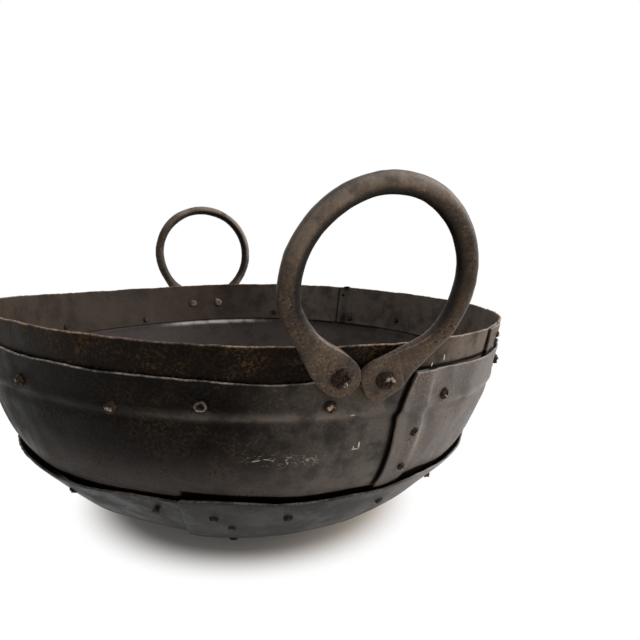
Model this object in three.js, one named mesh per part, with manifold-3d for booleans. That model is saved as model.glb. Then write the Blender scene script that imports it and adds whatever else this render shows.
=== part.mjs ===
// Riveted iron bowl with two ring handles: a hand-made cooking bowl of lapped sheet plates.
// Millimetres, +Z up. The origin is the centre of the flat under the bowl; the handles stand at -Y and +Y.
import * as THREE from 'three';
import { mergeVertices } from 'three/addons/utils/BufferGeometryUtils.js';
import Module from 'manifold-3d';

const wasm = await Module();
wasm.setup();

// Bowl
const rimRadius = 275;
const rimHeight = 221;
const hoopFootRadius = 266.7;
const hoopFootHeight = 168;
const flatRadius = 60.5;
const sheet = 2;
const lapGap = 0.4;
const layer = sheet + lapGap;

// Distances measured down the wall from the rim
const hoopBottom = 58;
const sideTop = 24;
const dishTop = 129;
const sideBottom = 177;
const tuckFrom = 105;
const tuckTo = 180;
const hoopRows = [0, sideTop, hoopBottom];
const sideRows = [sideTop, hoopBottom, 84, 107, dishTop, 153, sideBottom];
const dishRows = [dishTop, 153, sideBottom, 200, 225, 250, 285];

// Where each strip or plate begins, in degrees round the bowl, and how far it laps over the one before
const hoopSeams = [300.6, 34.5, 170];
const hoopLap = 8;
const sideSeams = [277.1, 3, 138];
const sideLap = 6.1;
const hoopEdgeLean = 2;
const sideEdgeLean = 2.2;
const sideEdgeLeanFade = 45;
const facet = 5;
const leastFacet = 1.5;
const stepFrom = 0.6;
const stepTo = 2.8;
const hoopSeamFade = 36;

// The straight seam across the bottom, seen from above
const dishSeamOffset = -53.8;
const dishSeamTurn = -16.2;
const dishLap = 50;
const dishReach = 400;
const setInFrom = -80;
const setInTo = -40;
const dishFlare = 0.8;
const dishFlareFade = 20;

// How far the hand-made bowl is out of true at the rim
const oval = 3.4;
const ovalTowards = 79;
const rimWaves = [
  { height: 2.3, count: 1, peak: 280 },
  { height: 3.1, count: 2, peak: 28.8 },
  { height: 2.1, count: 3, peak: 71 },
];

// Handles: ring and bar sizes, the ring's lean from upright, and the flattened feet. A handle's left foot stands
// higher than its right by twice the rise. Slope and joinAt, in degrees, are the foot's own slope and the place on
// the ring where its neck ends.
const handles = {
  front: {
    azimuth: 268.8, down: 21.8, ring: 64, centre: 68.5, bar: 7.2, lean: 15, spread: 16.5, rise: 1.8, foot: 15.5,
    right: { slope: 30, joinAt: -20 },
    left: { slope: 43, joinAt: -13 },
  },
  rear: {
    azimuth: 90.1, down: 29.5, ring: 69.4, centre: 81.7, bar: 6.3, lean: 3, spread: 21, rise: 0, foot: 16.5,
    right: { slope: 42, joinAt: -25 },
    left: { slope: 42, joinAt: -25 },
  },
};
const footLean = 11.3;
const leanFrom = 12;
const footThickness = 6.4;
const footGap = 0.6;
const footHeadGap = 1.5;
const footMarks = [0, 0.15, 0.4, 0.75, 1, 1.3];
const barFrom = 1.6;
const neckTaper = 46;
const barSides = 10;
const barStep = 12;
const footBend = { full: 12, none: 38 };

// Rivets: [head radius, shank radius] for each use, and the gaps that keep them clear of the sheets
const bandRivet = [5, 3];
const seamRivet = [4.5, 3];
const hoopSeamRivet = [3.2, 2];
const handleRivet = [6.2, 4];
const rivetSides = 8;
const headHeight = 0.6;
const tailSpread = 1.35;
const tailThickness = 1.8;
const holeLength = 34;
const holeMiddle = 4;
const holeClearance = 0.4;
const headGap = 0.3;
const tailGap = 1;
const bandRivets = [
  [232.3, 51.5], [246.1, 44], [264.8, 45], [287.6, 48], [313.2, 38], [320.5, 50], [343, 46], [18.8, 42],
  [37.5, 49], [66, 47], [111.3, 50], [141, 46], [174, 45], [193, 47], [213, 46],
];
const dishRivets = [
  [235.1, 151], [246.3, 156], [260.8, 156], [282.6, 160], [302, 160], [322, 157], [344, 155], [6, 158],
  [29, 155], [52, 157], [81, 157], [100, 155], [141, 157], [165, 155], [189, 157], [213, 155],
];
const sideSeamRivetInset = 4.4;
const sideSeamRivetDowns = [75, 110];
const hoopSeamRivets = [[307.5, 10], [307.5, 17], [41, 12], [176, 12]];
const dishSeamRivetInset = 38;
const dishSeamRivetPlaces = [-214, -172, -128, 140, 192];

const { degToRad, smoothstep, lerp, euclideanModulo } = THREE.MathUtils;

// The wall's section: a straight hoop, then one long curve to the flat
const wall = new THREE.Path();
wall.moveTo(rimRadius, rimHeight);
wall.lineTo(hoopFootRadius, hoopFootHeight);
wall.bezierCurveTo(246.2, 60, 168, 0, flatRadius, 0);
const flatFrom = wall.getLength();

// A point of the wall, given as an angle round it, a distance down it and a height off its skin
function wallNormal(azimuth, down) {
  const along = wall.getTangent(Math.min(down / flatFrom, 1));
  const turn = degToRad(azimuth);
  return new THREE.Vector3(-along.y * Math.cos(turn), -along.y * Math.sin(turn), along.x).normalize();
}

function wallPoint(azimuth, down, lift) {
  const place = wall.getPoint(Math.min(down / flatFrom, 1));
  const turn = degToRad(azimuth);
  const point = new THREE.Vector3(place.x * Math.cos(turn), place.x * Math.sin(turn), place.y);
  return point.addScaledVector(wallNormal(azimuth, down), lift);
}

// Out of true: slightly oval, with a rim that rises and falls, both fading to nothing at the flat
function handMade(point) {
  const turn = Math.atan2(point.y, point.x);
  const share = THREE.MathUtils.clamp(point.z / rimHeight, 0, 1);
  const stretch = 1 + share * oval * Math.cos(2 * (turn - degToRad(ovalTowards))) / rimRadius;
  let rise = 0;
  for (const wave of rimWaves) {
    rise += wave.height * Math.cos(wave.count * (turn - degToRad(wave.peak)));
  }
  return new THREE.Vector3(point.x * stretch, point.y * stretch, point.z + share * rise);
}

// Angle from a seam's edge, from -180 to 180
function pastSeam(azimuth, seam) {
  return euclideanModulo(azimuth - seam + 180, 360) - 180;
}

// A plate's own lift where its first edge laps over the plate before it
function lapStep(past, lap) {
  return layer * (1 - THREE.MathUtils.clamp((past - lap - stepFrom) / (stepTo - stepFrom), 0, 1));
}

// The rise that the side plates take to pass over the hoop's thicker seams
function hoopSeamRise(azimuth, down) {
  let rise = 0;
  for (const seam of hoopSeams) {
    const past = pastSeam(azimuth, seam);
    const outside = Math.max(-past, past - hoopLap, 0);
    rise = Math.max(rise, layer * (1 - THREE.MathUtils.clamp(outside / facet - 1, 0, 1)));
  }
  return rise * (1 - smoothstep(down, hoopBottom, hoopBottom + hoopSeamFade));
}

// The height of each layer's outer face off the skin
function tuck(down) {
  return 2 * layer * smoothstep(down, tuckFrom, tuckTo);
}

function hoopLift(down) {
  return -layer * down / hoopBottom;
}

function sideLift(azimuth, down) {
  const overHoop = Math.max(layer * (1 - down / hoopBottom), 0);
  return overHoop + hoopSeamRise(azimuth, down) - tuck(down);
}

function sideFace(azimuth, down) {
  const steps = sideSeams.map((seam) => {
    const past = pastSeam(azimuth, seam);
    return past > 0 ? lapStep(past, sideLap) : 0;
  });
  return sideLift(azimuth, down) + Math.max(...steps);
}

function dishLift(down) {
  const flare = dishFlare * (1 - smoothstep(down, dishTop, dishTop + dishFlareFade));
  return 2 * layer - tuck(down) + flare;
}

// The turn that stands an upright piece square on the wall
function standOnWall(azimuth, down) {
  return new THREE.Quaternion().setFromUnitVectors(new THREE.Vector3(0, 1, 0), wallNormal(azimuth, down));
}

// Solids for cutting and joining
function toSolid(geometry) {
  const bare = geometry.index ? geometry.toNonIndexed() : geometry.clone();
  bare.deleteAttribute('normal');
  bare.deleteAttribute('uv');
  const merged = mergeVertices(bare, 1e-4);
  const corners = merged.index.array;
  const kept = [];
  for (let i = 0; i < corners.length; i += 3) {
    const [a, b, c] = [corners[i], corners[i + 1], corners[i + 2]];
    if (a !== b && b !== c && c !== a) kept.push(a, b, c);
  }
  const mesh = new wasm.Mesh({
    numProp: 3,
    vertProperties: new Float32Array(merged.attributes.position.array),
    triVerts: new Uint32Array(kept),
  });
  mesh.merge();
  return new wasm.Manifold(mesh);
}

function toGeometry(solid) {
  const mesh = solid.getMesh();
  const geometry = new THREE.BufferGeometry();
  geometry.setAttribute('position', new THREE.BufferAttribute(new Float32Array(mesh.vertProperties), 3));
  geometry.setIndex(new THREE.BufferAttribute(new Uint32Array(mesh.triVerts), 1));
  return geometry;
}

function moveVertices(geometry, move) {
  const place = geometry.attributes.position;
  for (let i = 0; i < place.count; i += 1) {
    const moved = move(new THREE.Vector3().fromBufferAttribute(place, i));
    place.setXYZ(i, moved.x, moved.y, moved.z);
  }
  return geometry;
}

// Angles of a strip's cross lines: its two ends, the step of its lap, and every few degrees between
function crossLines(start, end, lap) {
  const step = [start + lap + stepFrom, start + lap + stepTo];
  const lines = [start, ...step, end];
  for (let line = Math.ceil(start / facet) * facet; line < end; line += facet) {
    if (lines.every((other) => Math.abs(other - line) > leastFacet)) lines.push(line);
  }
  return lines.sort((a, b) => a - b);
}

// A flat strip rolled round the wall. Its first edge can lean; liftAt gives its outer face.
function rolledStrip({ start, end, lap, rows, edgeLean, liftAt }) {
  const lines = crossLines(start, end, lap);
  const strip = new THREE.BoxGeometry(1, 1, 1, lines.length - 1, 1, rows.length - 1);
  return moveVertices(strip, (corner) => {
    const column = Math.round((corner.x + 0.5) * (lines.length - 1));
    const down = rows[Math.round((corner.z + 0.5) * (rows.length - 1))];
    const azimuth = lines[column] + (column === 0 ? edgeLean(down) : 0);
    const lift = liftAt(azimuth, down) + lapStep(lines[column] - start, lap);
    return wallPoint(azimuth, down, corner.y > 0 ? lift : lift - sheet);
  });
}

function seamEnd(seams, index) {
  const next = seams[(index + 1) % seams.length];
  return next > seams[index] ? next : next + 360;
}

function hoopStrip(index) {
  return rolledStrip({
    start: hoopSeams[index],
    end: seamEnd(hoopSeams, index) + hoopLap,
    lap: hoopLap,
    rows: hoopRows,
    edgeLean: (down) => hoopEdgeLean * down / hoopBottom,
    liftAt: (azimuth, down) => hoopLift(down),
  });
}

function sidePlate(index) {
  return rolledStrip({
    start: sideSeams[index],
    end: seamEnd(sideSeams, index) + sideLap,
    lap: sideLap,
    rows: sideRows,
    edgeLean: (down) => sideEdgeLean * Math.max(1 - (down - sideTop) / sideEdgeLeanFade, 0) ** 2,
    liftAt: sideLift,
  });
}

// The bottom's two plates: one dished disc, parted along the seam, with one side set in under the other
function dishProfile() {
  const rows = [...dishRows, flatFrom];
  const outer = rows.map((down) => wallPoint(0, down, dishLift(down)));
  const inner = rows.map((down) => wallPoint(0, down, dishLift(down) - sheet));
  const outline = [...outer.reverse(), ...inner].map((point) => new THREE.Vector2(point.x, point.z));
  return [new THREE.Vector2(0, 0), ...outline, new THREE.Vector2(0, sheet)];
}

function fromDishSeam(point) {
  const turned = point.clone().applyAxisAngle(new THREE.Vector3(0, 0, 1), -degToRad(dishSeamTurn));
  return turned.x - dishSeamOffset;
}

function dishPlate({ from, to, setIn }) {
  const disc = new THREE.LatheGeometry(dishProfile(), 360 / facet);
  disc.rotateX(Math.PI / 2);
  moveVertices(disc, (point) => {
    const share = setIn ? smoothstep(fromDishSeam(point), setInFrom, setInTo) : 0;
    const inward = new THREE.Vector3(0, 0, rimHeight).sub(point).normalize();
    return point.addScaledVector(inward, share * layer);
  });
  const side = new THREE.BoxGeometry(to - from, 2 * dishReach, 2 * dishReach);
  side.translate(dishSeamOffset + (from + to) / 2, 0, 0);
  side.rotateZ(degToRad(dishSeamTurn));
  return toSolid(disc).intersect(toSolid(side));
}

// One side of a handle in its own plane: toe, middle of the foot, bend of the neck, and its end on the ring
function handleSide({ ring, centre, spread, rise, foot }, { slope, joinAt }, sign) {
  const middle = new THREE.Vector2(spread, -sign * rise);
  const way = new THREE.Vector2(1, 0).rotateAround(new THREE.Vector2(), degToRad(slope));
  const spoke = new THREE.Vector2(1, 0).rotateAround(new THREE.Vector2(), degToRad(joinAt));
  const ringWay = new THREE.Vector2(-spoke.y, spoke.x);
  const join = new THREE.Vector2(0, centre).addScaledVector(spoke, ring);
  const reach = join.clone().sub(middle).cross(ringWay) / way.cross(ringWay);
  const bend = middle.clone().addScaledVector(way, reach);
  const toe = middle.clone().addScaledVector(way, -foot);
  return [toe, middle, bend, join].map(({ x, y }) => new THREE.Vector2(sign * x, y));
}

// A handle's centre line in its own plane: a foot, a curved neck, the ring, a neck and a foot
function handleLine(size) {
  const right = handleSide(size, size.right, 1);
  const [leftToe, leftMiddle, ...leftNeck] = handleSide(size, size.left, -1);
  const [from, to] = [degToRad(size.right.joinAt), Math.PI - degToRad(size.left.joinAt)];
  const line = new THREE.CurvePath();
  line.add(new THREE.LineCurve(...right.slice(0, 2)));
  line.add(new THREE.QuadraticBezierCurve(...right.slice(1)));
  line.add(new THREE.EllipseCurve(0, size.centre, size.ring, size.ring, from, to));
  line.add(new THREE.QuadraticBezierCurve(...leftNeck.reverse(), leftMiddle));
  line.add(new THREE.LineCurve(leftMiddle, leftToe));
  return line;
}

// Half the width and half the thickness of the forged bar, at a distance from its nearer end
function barSection(fromToe, { foot, bar }) {
  if (fromToe < foot) {
    const width = Math.sqrt(Math.max(foot ** 2 - (foot - fromToe) ** 2, 0));
    return { width: Math.max(width, 0.5), thick: footThickness / 2 };
  }
  const share = smoothstep(fromToe, foot, foot + neckTaper);
  return { width: lerp(foot, bar, share), thick: lerp(footThickness / 2, bar, share) };
}

function handleBar(size) {
  const line = handleLine(size);
  const length = line.getLength();
  const marks = footMarks.map((share) => share * size.foot);
  for (let place = size.foot * barFrom; place < length / 2; place += barStep) marks.push(place);
  const places = [...marks, ...marks.map((mark) => length - mark).reverse()];
  const rings = places.length - 1;
  const bar = new THREE.CylinderGeometry(1, 1, 1, barSides, rings);
  const stand = sideLift(size.azimuth, size.down) + footGap;
  const base = wallPoint(size.azimuth, size.down, stand);
  const out = wallPoint(size.azimuth, 0, 1).sub(wallPoint(size.azimuth, 0, 0)).setZ(0).normalize();
  const across = new THREE.Vector3(-out.y, out.x, 0);
  const up = new THREE.Vector3(0, 0, 1).applyAxisAngle(across, degToRad(footLean));
  const off = new THREE.Vector3().crossVectors(across, up);
  const tip = degToRad(size.lean - footLean);
  const wrap = Math.hypot(base.x, base.y);
  return moveVertices(bar, (corner) => {
    const place = places[Math.round((corner.y + 0.5) * rings)];
    const share = place / length;
    const centre = line.getPoint(share);
    const along = line.getTangent(share);
    const { width, thick } = barSection(Math.min(place, length - place), size);
    const x = centre.x - along.y * width * corner.x;
    const height = centre.y + along.x * width * corner.x;
    const stood = thick * (1 - corner.z);
    const tipped = Math.max(height - leanFrom, 0);
    const bend = 1 - smoothstep(height, footBend.full, footBend.none);
    const bentX = (wrap + stood) * Math.sin(x / wrap);
    const bentStood = (wrap + stood) * Math.cos(x / wrap) - wrap;
    const point = base.clone();
    point.addScaledVector(across, lerp(x, bentX, bend));
    point.addScaledVector(up, height - tipped * (1 - Math.cos(tip)));
    return point.addScaledVector(off, lerp(stood, bentStood, bend) + tipped * Math.sin(tip));
  });
}

// A rivet's half section: a flattened tail inside, a shank through the layers, and a worn dome outside
function rivetProfile({ head, shank, grip }) {
  const tall = head * headHeight;
  const tail = shank * tailSpread;
  const low = -grip - tailGap;
  return [
    [0, low - tailThickness],
    [tail * 0.8, low - tailThickness * 0.8],
    [tail, low],
    [shank, low],
    [shank, headGap],
    [head, headGap],
    [head * 0.86, tall * 0.66],
    [head * 0.4, tall],
    [0, tall],
  ].map(([x, y]) => new THREE.Vector2(x, y));
}

function rivet(name, azimuth, down, outer, inner, [head, shank]) {
  return { name, azimuth, down, outer, head, shank, grip: outer - inner };
}

function numbered(word, index) {
  return `${word}_${String(index + 1).padStart(2, '0')}`;
}

const rivets = [];
bandRivets.forEach(([azimuth, down], index) => {
  const name = numbered('band_rivet', index);
  const inner = hoopLift(down) - sheet;
  rivets.push(rivet(name, azimuth, down, sideFace(azimuth, down), inner, bandRivet));
});
dishRivets.forEach(([azimuth, down], index) => {
  const inner = sideLift(azimuth, down) - sheet;
  rivets.push(rivet(numbered('dish_rivet', index), azimuth, down, dishLift(down), inner, seamRivet));
});
sideSeams.forEach((seam, plate) => {
  sideSeamRivetDowns.forEach((down, step) => {
    const azimuth = seam + sideSeamRivetInset;
    const name = numbered('side_seam_rivet', plate * sideSeamRivetDowns.length + step);
    const inner = sideLift(azimuth, down) - sheet;
    rivets.push(rivet(name, azimuth, down, sideFace(azimuth, down), inner, seamRivet));
  });
});
hoopSeamRivets.forEach(([azimuth, down], index) => {
  const base = hoopLift(down);
  const name = numbered('hoop_seam_rivet', index);
  rivets.push(rivet(name, azimuth, down, base + layer, base - sheet, hoopSeamRivet));
});

// Distance down the wall at which it reaches a radius
function downAtRadius(radius) {
  let [high, low] = [0, flatFrom];
  for (let i = 0; i < 40; i += 1) {
    const middle = (high + low) / 2;
    if (wallPoint(0, middle, 0).x > radius) high = middle;
    else low = middle;
  }
  return high;
}
dishSeamRivetPlaces.forEach((place, index) => {
  const across = dishSeamOffset + dishSeamRivetInset;
  const azimuth = Math.atan2(place, across) * 180 / Math.PI + dishSeamTurn;
  const down = downAtRadius(Math.hypot(place, across));
  const outer = dishLift(down);
  const inner = (down < sideBottom ? sideLift(azimuth, down) : outer - layer) - sheet;
  rivets.push(rivet(numbered('dish_seam_rivet', index), azimuth, down, outer, inner, seamRivet));
});
for (const [side, size] of Object.entries(handles)) {
  for (const [word, sign] of [['left', -1], ['right', 1]]) {
    const azimuth = size.azimuth + sign * size.spread / rimRadius * 180 / Math.PI;
    const down = size.down + sign * size.rise;
    const outer = sideLift(azimuth, down) + footThickness + footHeadGap;
    const inner = hoopLift(down) - sheet;
    rivets.push(rivet(`${side}_handle_${word}_rivet`, azimuth, down, outer, inner, handleRivet));
  }
}

// One hole for every rivet, through whatever it passes
const holes = rivets.map(({ azimuth, down, outer, shank }) => {
  const radius = shank + holeClearance;
  const hole = new THREE.CylinderGeometry(radius, radius, holeLength, rivetSides);
  hole.applyQuaternion(standOnWall(azimuth, down));
  const middle = wallPoint(azimuth, down, outer - holeMiddle);
  hole.translate(middle.x, middle.y, middle.z);
  return toSolid(hole);
});
const allHoles = holes.reduce((joined, hole) => joined.add(hole));

// Finishes
const iron = { color: 0x3a3430, roughness: 0.55, metalness: 0.75 };
const worn = { color: 0x4a423c, roughness: 0.5, metalness: 0.75 };
const rusty = { color: 0x4c3a2f, roughness: 0.75, metalness: 0.5 };

const bowl = new THREE.Group();
bowl.name = 'riveted_bowl';

function addPlate(name, solid, finish) {
  const geometry = moveVertices(toGeometry(solid.subtract(allHoles)), handMade);
  const mesh = new THREE.Mesh(geometry, new THREE.MeshStandardMaterial(finish));
  mesh.name = name;
  bowl.add(mesh);
}

for (const index of hoopSeams.keys()) {
  addPlate(numbered('rim_strip', index), toSolid(hoopStrip(index)), iron);
}
for (const index of sideSeams.keys()) {
  addPlate(numbered('side_plate', index), toSolid(sidePlate(index)), iron);
}
addPlate('bottom_plate_outer', dishPlate({ from: 0, to: dishReach, setIn: false }), iron);
addPlate('bottom_plate_inner', dishPlate({ from: -dishReach, to: dishLap, setIn: true }), iron);
for (const [side, size] of Object.entries(handles)) {
  addPlate(`${side}_handle`, toSolid(handleBar(size)), worn);
}

for (const { name, azimuth, down, outer, head, shank, grip } of rivets) {
  const geometry = new THREE.LatheGeometry(rivetProfile({ head, shank, grip }), rivetSides);
  const mesh = new THREE.Mesh(geometry, new THREE.MeshStandardMaterial(rusty));
  mesh.name = name;
  mesh.position.copy(handMade(wallPoint(azimuth, down, outer)));
  mesh.quaternion.copy(standOnWall(azimuth, down));
  bowl.add(mesh);
}

export default bowl;
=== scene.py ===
"""An old riveted iron bowl with two ring handles, hammered up from lapped sheets.
Metres, +Z up, handles at -Y and +Y. Places on the wall are an azimuth in degrees and a distance down from the rim."""
import math
import bpy
import numpy as np
from mathutils import Matrix, Vector


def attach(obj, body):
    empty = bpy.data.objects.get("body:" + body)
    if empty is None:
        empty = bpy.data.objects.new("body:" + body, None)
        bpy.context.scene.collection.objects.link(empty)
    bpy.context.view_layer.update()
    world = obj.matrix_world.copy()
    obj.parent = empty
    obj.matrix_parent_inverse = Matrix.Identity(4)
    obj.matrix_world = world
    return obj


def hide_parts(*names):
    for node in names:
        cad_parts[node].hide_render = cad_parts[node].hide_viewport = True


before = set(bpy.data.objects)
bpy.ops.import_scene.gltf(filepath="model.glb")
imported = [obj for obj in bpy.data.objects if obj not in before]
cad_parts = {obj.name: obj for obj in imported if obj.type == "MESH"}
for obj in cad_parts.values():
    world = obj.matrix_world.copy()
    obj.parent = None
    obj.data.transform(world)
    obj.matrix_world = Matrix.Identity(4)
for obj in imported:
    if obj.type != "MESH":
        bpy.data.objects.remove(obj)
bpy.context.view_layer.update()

# Rim hoop
# Three strips of iron sheet rolled into one straight-sided hoop round the mouth. Each laps over the end of the one
# before it and is held there by small rivets. The raw top edge has worn bright and rusted again.
RIM_RADIUS = 0.275
RIM_HEIGHT = 0.221
HOOP_FOOT = (0.2667, 0.168)
BELLY_PULLS = ((0.2462, 0.060), (0.168, 0.0))
FLAT_RADIUS = 0.0605
SHEET = 0.002
LAYER = 0.0024
HOOP_BOTTOM = 0.058
SIDE_TOP = 0.024
HOOP_SEAMS = (300.6, 34.5, 170.0)
HOOP_LAP = 8.0
HOOP_EDGE_LEAN = 2.0
STEP_FROM = 0.3
STEP_TO = 3.4
OVAL = 0.0034
OVAL_TOWARDS = 79.0
RIM_WAVES = ((0.0023, 1, 280.0), (0.0031, 2, 28.8), (0.0021, 3, 71.0))


def wall_section():
    """Half section of the bowl: a straight line down the hoop, a cubic Bezier curve to the flat, then the flat to the
    axis. Gives the distance down from the rim, the radius and the height at close steps."""
    t = np.linspace(0, 1, 1500)[:, None]
    top, foot = np.array([[RIM_RADIUS, RIM_HEIGHT]]), np.array([HOOP_FOOT])
    pull_a, pull_b = np.array([BELLY_PULLS[0]]), np.array([BELLY_PULLS[1]])
    end, axis = np.array([[FLAT_RADIUS, 0.0]]), np.array([[0.0, 0.0]])
    hoop = top + (foot - top) * t
    belly = (1 - t) ** 3 * foot + 3 * (1 - t) ** 2 * t * pull_a + 3 * (1 - t) * t**2 * pull_b + t**3 * end
    line = np.concatenate([hoop[:-1], belly[:-1], end + (axis - end) * t])
    steps = np.hypot(*np.diff(line, axis=0).T)
    return np.concatenate([[0], np.cumsum(steps)]), line[:, 0], line[:, 1]


SECTION_DOWN, SECTION_RADIUS, SECTION_HEIGHT = wall_section()
AXIS_DOWN = float(SECTION_DOWN[-1])


def on_wall(azimuth, down, lift):
    """Points of the wall: the section's point that far down, moved out by lift along the section's own normal, turned
    to the azimuth in degrees. The whole is then drawn slightly oval, and the rim rises and falls in three long waves,
    both in proportion to the height above the flat."""
    azimuth, down, lift = np.broadcast_arrays(azimuth, down, lift)
    radius = np.interp(down, SECTION_DOWN, SECTION_RADIUS)
    height = np.interp(down, SECTION_DOWN, SECTION_HEIGHT)
    nudge = 0.0006
    ahead, behind = np.clip(down + nudge, 0, AXIS_DOWN), np.clip(down - nudge, 0, AXIS_DOWN)
    slope_r = np.interp(ahead, SECTION_DOWN, SECTION_RADIUS) - np.interp(behind, SECTION_DOWN, SECTION_RADIUS)
    slope_z = np.interp(ahead, SECTION_DOWN, SECTION_HEIGHT) - np.interp(behind, SECTION_DOWN, SECTION_HEIGHT)
    size = np.hypot(slope_r, slope_z)
    radius = radius - slope_z / size * lift
    height = height + slope_r / size * lift
    turn = np.radians(azimuth)
    share = np.clip(height / RIM_HEIGHT, 0, 1)
    radius = radius * (1 + share * OVAL * np.cos(2 * (turn - math.radians(OVAL_TOWARDS))) / RIM_RADIUS)
    for rise, count, peak in RIM_WAVES:
        height = height + share * rise * np.cos(count * (turn - math.radians(peak)))
    return np.stack([radius * np.cos(turn), radius * np.sin(turn), height], axis=-1)


def smooth(value, low, high):
    """Ease from 0 to 1 as the value goes from low to high: three squares less two cubes of the share."""
    share = np.clip((np.asarray(value, float) - low) / (high - low), 0, 1)
    return share * share * (3 - 2 * share)


def past_seam(azimuth, seam):
    """Degrees past a seam, from -180 to 180."""
    return (np.asarray(azimuth) - seam + 180) % 360 - 180


def bell(value, middle, half):
    """A bell curve: one in the middle, falling off with the square of the distance in half widths."""
    return np.exp(-(((value - middle) / half) ** 2))


def stripe(value, middle, half):
    """A stripe with steep sides: as a bell curve, but with the fourth power of the distance."""
    return np.exp(-(((value - middle) / half) ** 4))


def unevenness(points, length, seed, count=36):
    """Random unevenness of about that wavelength, with a mean of nothing and a spread of one: the sum of many cosine
    waves, each with its own direction, pitch and phase, taken where the points are."""
    draw = np.random.default_rng(seed)
    direction = draw.normal(size=(3, count))
    direction /= np.linalg.norm(direction, axis=0)
    pitch = 2 * np.pi / (length * draw.uniform(0.7, 1.5, count))
    phase = draw.uniform(0, 2 * np.pi, count)
    return np.sqrt(2 / count) * np.cos(points @ (direction * pitch) + phase).sum(-1)


def layered(points, waves, seed):
    """Unevenness of several depths and lengths, added together, with seeds that follow on from the first."""
    return sum(depth * unevenness(points, length, seed + k) for k, (depth, length) in enumerate(waves))


LONG_WAVES, DENTS, HAMMER_MARKS = (0.00042, 0.13), (0.00017, 0.042), (0.000045, 0.016)
LEFT_ON_FLAT = 0.25
FLAT_FADE = (0.004, 0.03)


def hammering(azimuth, down):
    """How far the hammer left the sheets from true, which is the same for every layer of a lap: long, middling and
    short unevenness, each with its depth and length, added together and fading out on the flat."""
    points = on_wall(azimuth, down, 0.0)
    true = layered(points, (LONG_WAVES, DENTS, HAMMER_MARKS), 1)
    return true * (LEFT_ON_FLAT + (1 - LEFT_ON_FLAT) * smooth(points[..., 2], *FLAT_FADE))


RIVET_HALO = 0.009


def near_rivets(azimuth, down, places, reach=RIVET_HALO):
    """How near the nearest rivets are: a bell curve of the distance along the wall from each place, summed."""
    share = np.zeros(np.broadcast_shapes(np.shape(azimuth), np.shape(down)))
    radius = np.interp(down, SECTION_DOWN, SECTION_RADIUS)
    for rivet_azimuth, rivet_down in places:
        across = np.radians(past_seam(azimuth, rivet_azimuth)) * radius
        share = share + np.exp(-(across**2 + (down - rivet_down) ** 2) / reach**2)
    return share


def blow(azimuth, down, place, size, depth):
    """One dent: a bell curve as wide and as tall as size says, in degrees and metres, as deep as depth."""
    across = past_seam(azimuth, place[0]) / size[0]
    return -depth * np.exp(-(across**2) - ((down - place[1]) / size[1]) ** 2)


def lap_step(past, lap):
    """Where a strip's first edge rides over the strip before it, it stands one layer out, then steps down."""
    return LAYER * (1 - smooth(past, lap + STEP_FROM, lap + STEP_TO))


def hoop_lift(azimuth, down):
    """Outer face of the hoop off the wall's line: it leans in by one layer towards its foot, to pass under the side
    plates."""
    return -LAYER * down / HOOP_BOTTOM + 0 * np.asarray(azimuth)


EDGE_STEPS = np.array([0.0, 0.00012, 0.0004, 0.0009, 0.0017])


def close_steps(first, last, step):
    """Places from first to last about a step apart, crowded near both ends so that an edge can be round."""
    middle = np.linspace(first + EDGE_STEPS[-1], last - EDGE_STEPS[-1], max(int((last - first) / step), 2) + 1)
    return np.concatenate([first + EDGE_STEPS[:-1], middle, last - EDGE_STEPS[:-1][::-1]])


def sheet_ends(seams, index, lap):
    """The azimuths of both ends of a sheet: its own seam, and the end of its lap under the next sheet."""
    start, end = seams[index], seams[(index + 1) % 3] + lap
    return start, end + 360 if end < start else end


def sheet_grid(ends, degree, edges, steps, more_columns, more_rows):
    """A grid on a sheet between its ends and its top and bottom edges, at steps in metres along and down, with some
    more columns and rows where they have to be closer: the degrees past its first end, the distance down, and the
    distance from the nearest edge. degree says how many degrees there are in a metre."""
    (start, end), (top, bottom) = ends, edges
    columns = close_steps(start / degree, end / degree, steps[0]) * degree
    columns = np.unique(np.concatenate([columns, *more_columns]))
    rows = np.unique(np.concatenate([close_steps(top, bottom, steps[1]), *more_rows]))
    past, across = np.meshgrid(columns - start, rows, indexing="ij")
    from_end = np.minimum(past, end - start - past) / degree
    return past, across, np.minimum(from_end, np.minimum(across - top, bottom - across))


def grid_faces(index):
    """The four corners of each face of a grid of numbered points."""
    return np.stack([index[:-1, :-1], index[1:, :-1], index[1:, 1:], index[:-1, 1:]], -1).reshape(-1, 4)


def sheet_solid(name, outer, thickness_way, from_edge, round_plate=False, **marks):
    """A closed sheet from a grid of points on its outer face. The inner face lies one sheet further in along
    thickness_way, and within a millimetre of the edge both faces draw together on a quarter circle, so the edge is
    worn round. A round plate's columns close on themselves, and its first row is one point. A mark that differs on
    the two faces comes as a pair, outer face first."""
    half = SHEET / 2
    rounding = np.clip(1 - from_edge / half, 0, 1)
    share = np.sqrt(1 - rounding**2)[..., None]
    middle = outer - thickness_way * half
    faces = [middle + thickness_way * half * share, middle - thickness_way * half * share]
    columns, rows = outer.shape[:2]
    front = np.arange(columns * rows).reshape(columns, rows)
    back = front + columns * rows
    if round_plate:
        front[:, 0], back[:, 0] = front[0, 0], back[0, 0]
        back[:, -1] = front[:, -1]
        front, back = np.vstack([front, front[:1]]), np.vstack([back, back[:1]])
    else:
        for edge in (np.s_[0, :], np.s_[-1, :], np.s_[:, 0], np.s_[:, -1]):
            back[edge] = front[edge]
    quads = np.concatenate([grid_faces(front)[:, (0, 3, 2, 1)], grid_faces(back)])
    points = np.concatenate([face.reshape(-1, 3) for face in faces])
    marks = {word: np.broadcast_to(values, (2, columns, rows)).ravel() for word, values in marks.items()}
    return solid(name, points, quads, inside=np.repeat([0.0, 1.0], columns * rows), **marks)


WEAR_REACH = 0.0011


def worn(distance):
    """How worn an edge is, at a distance from it: one at the edge, fading over a millimetre."""
    return np.exp(-np.maximum(distance, 0) / WEAR_REACH)


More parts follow.
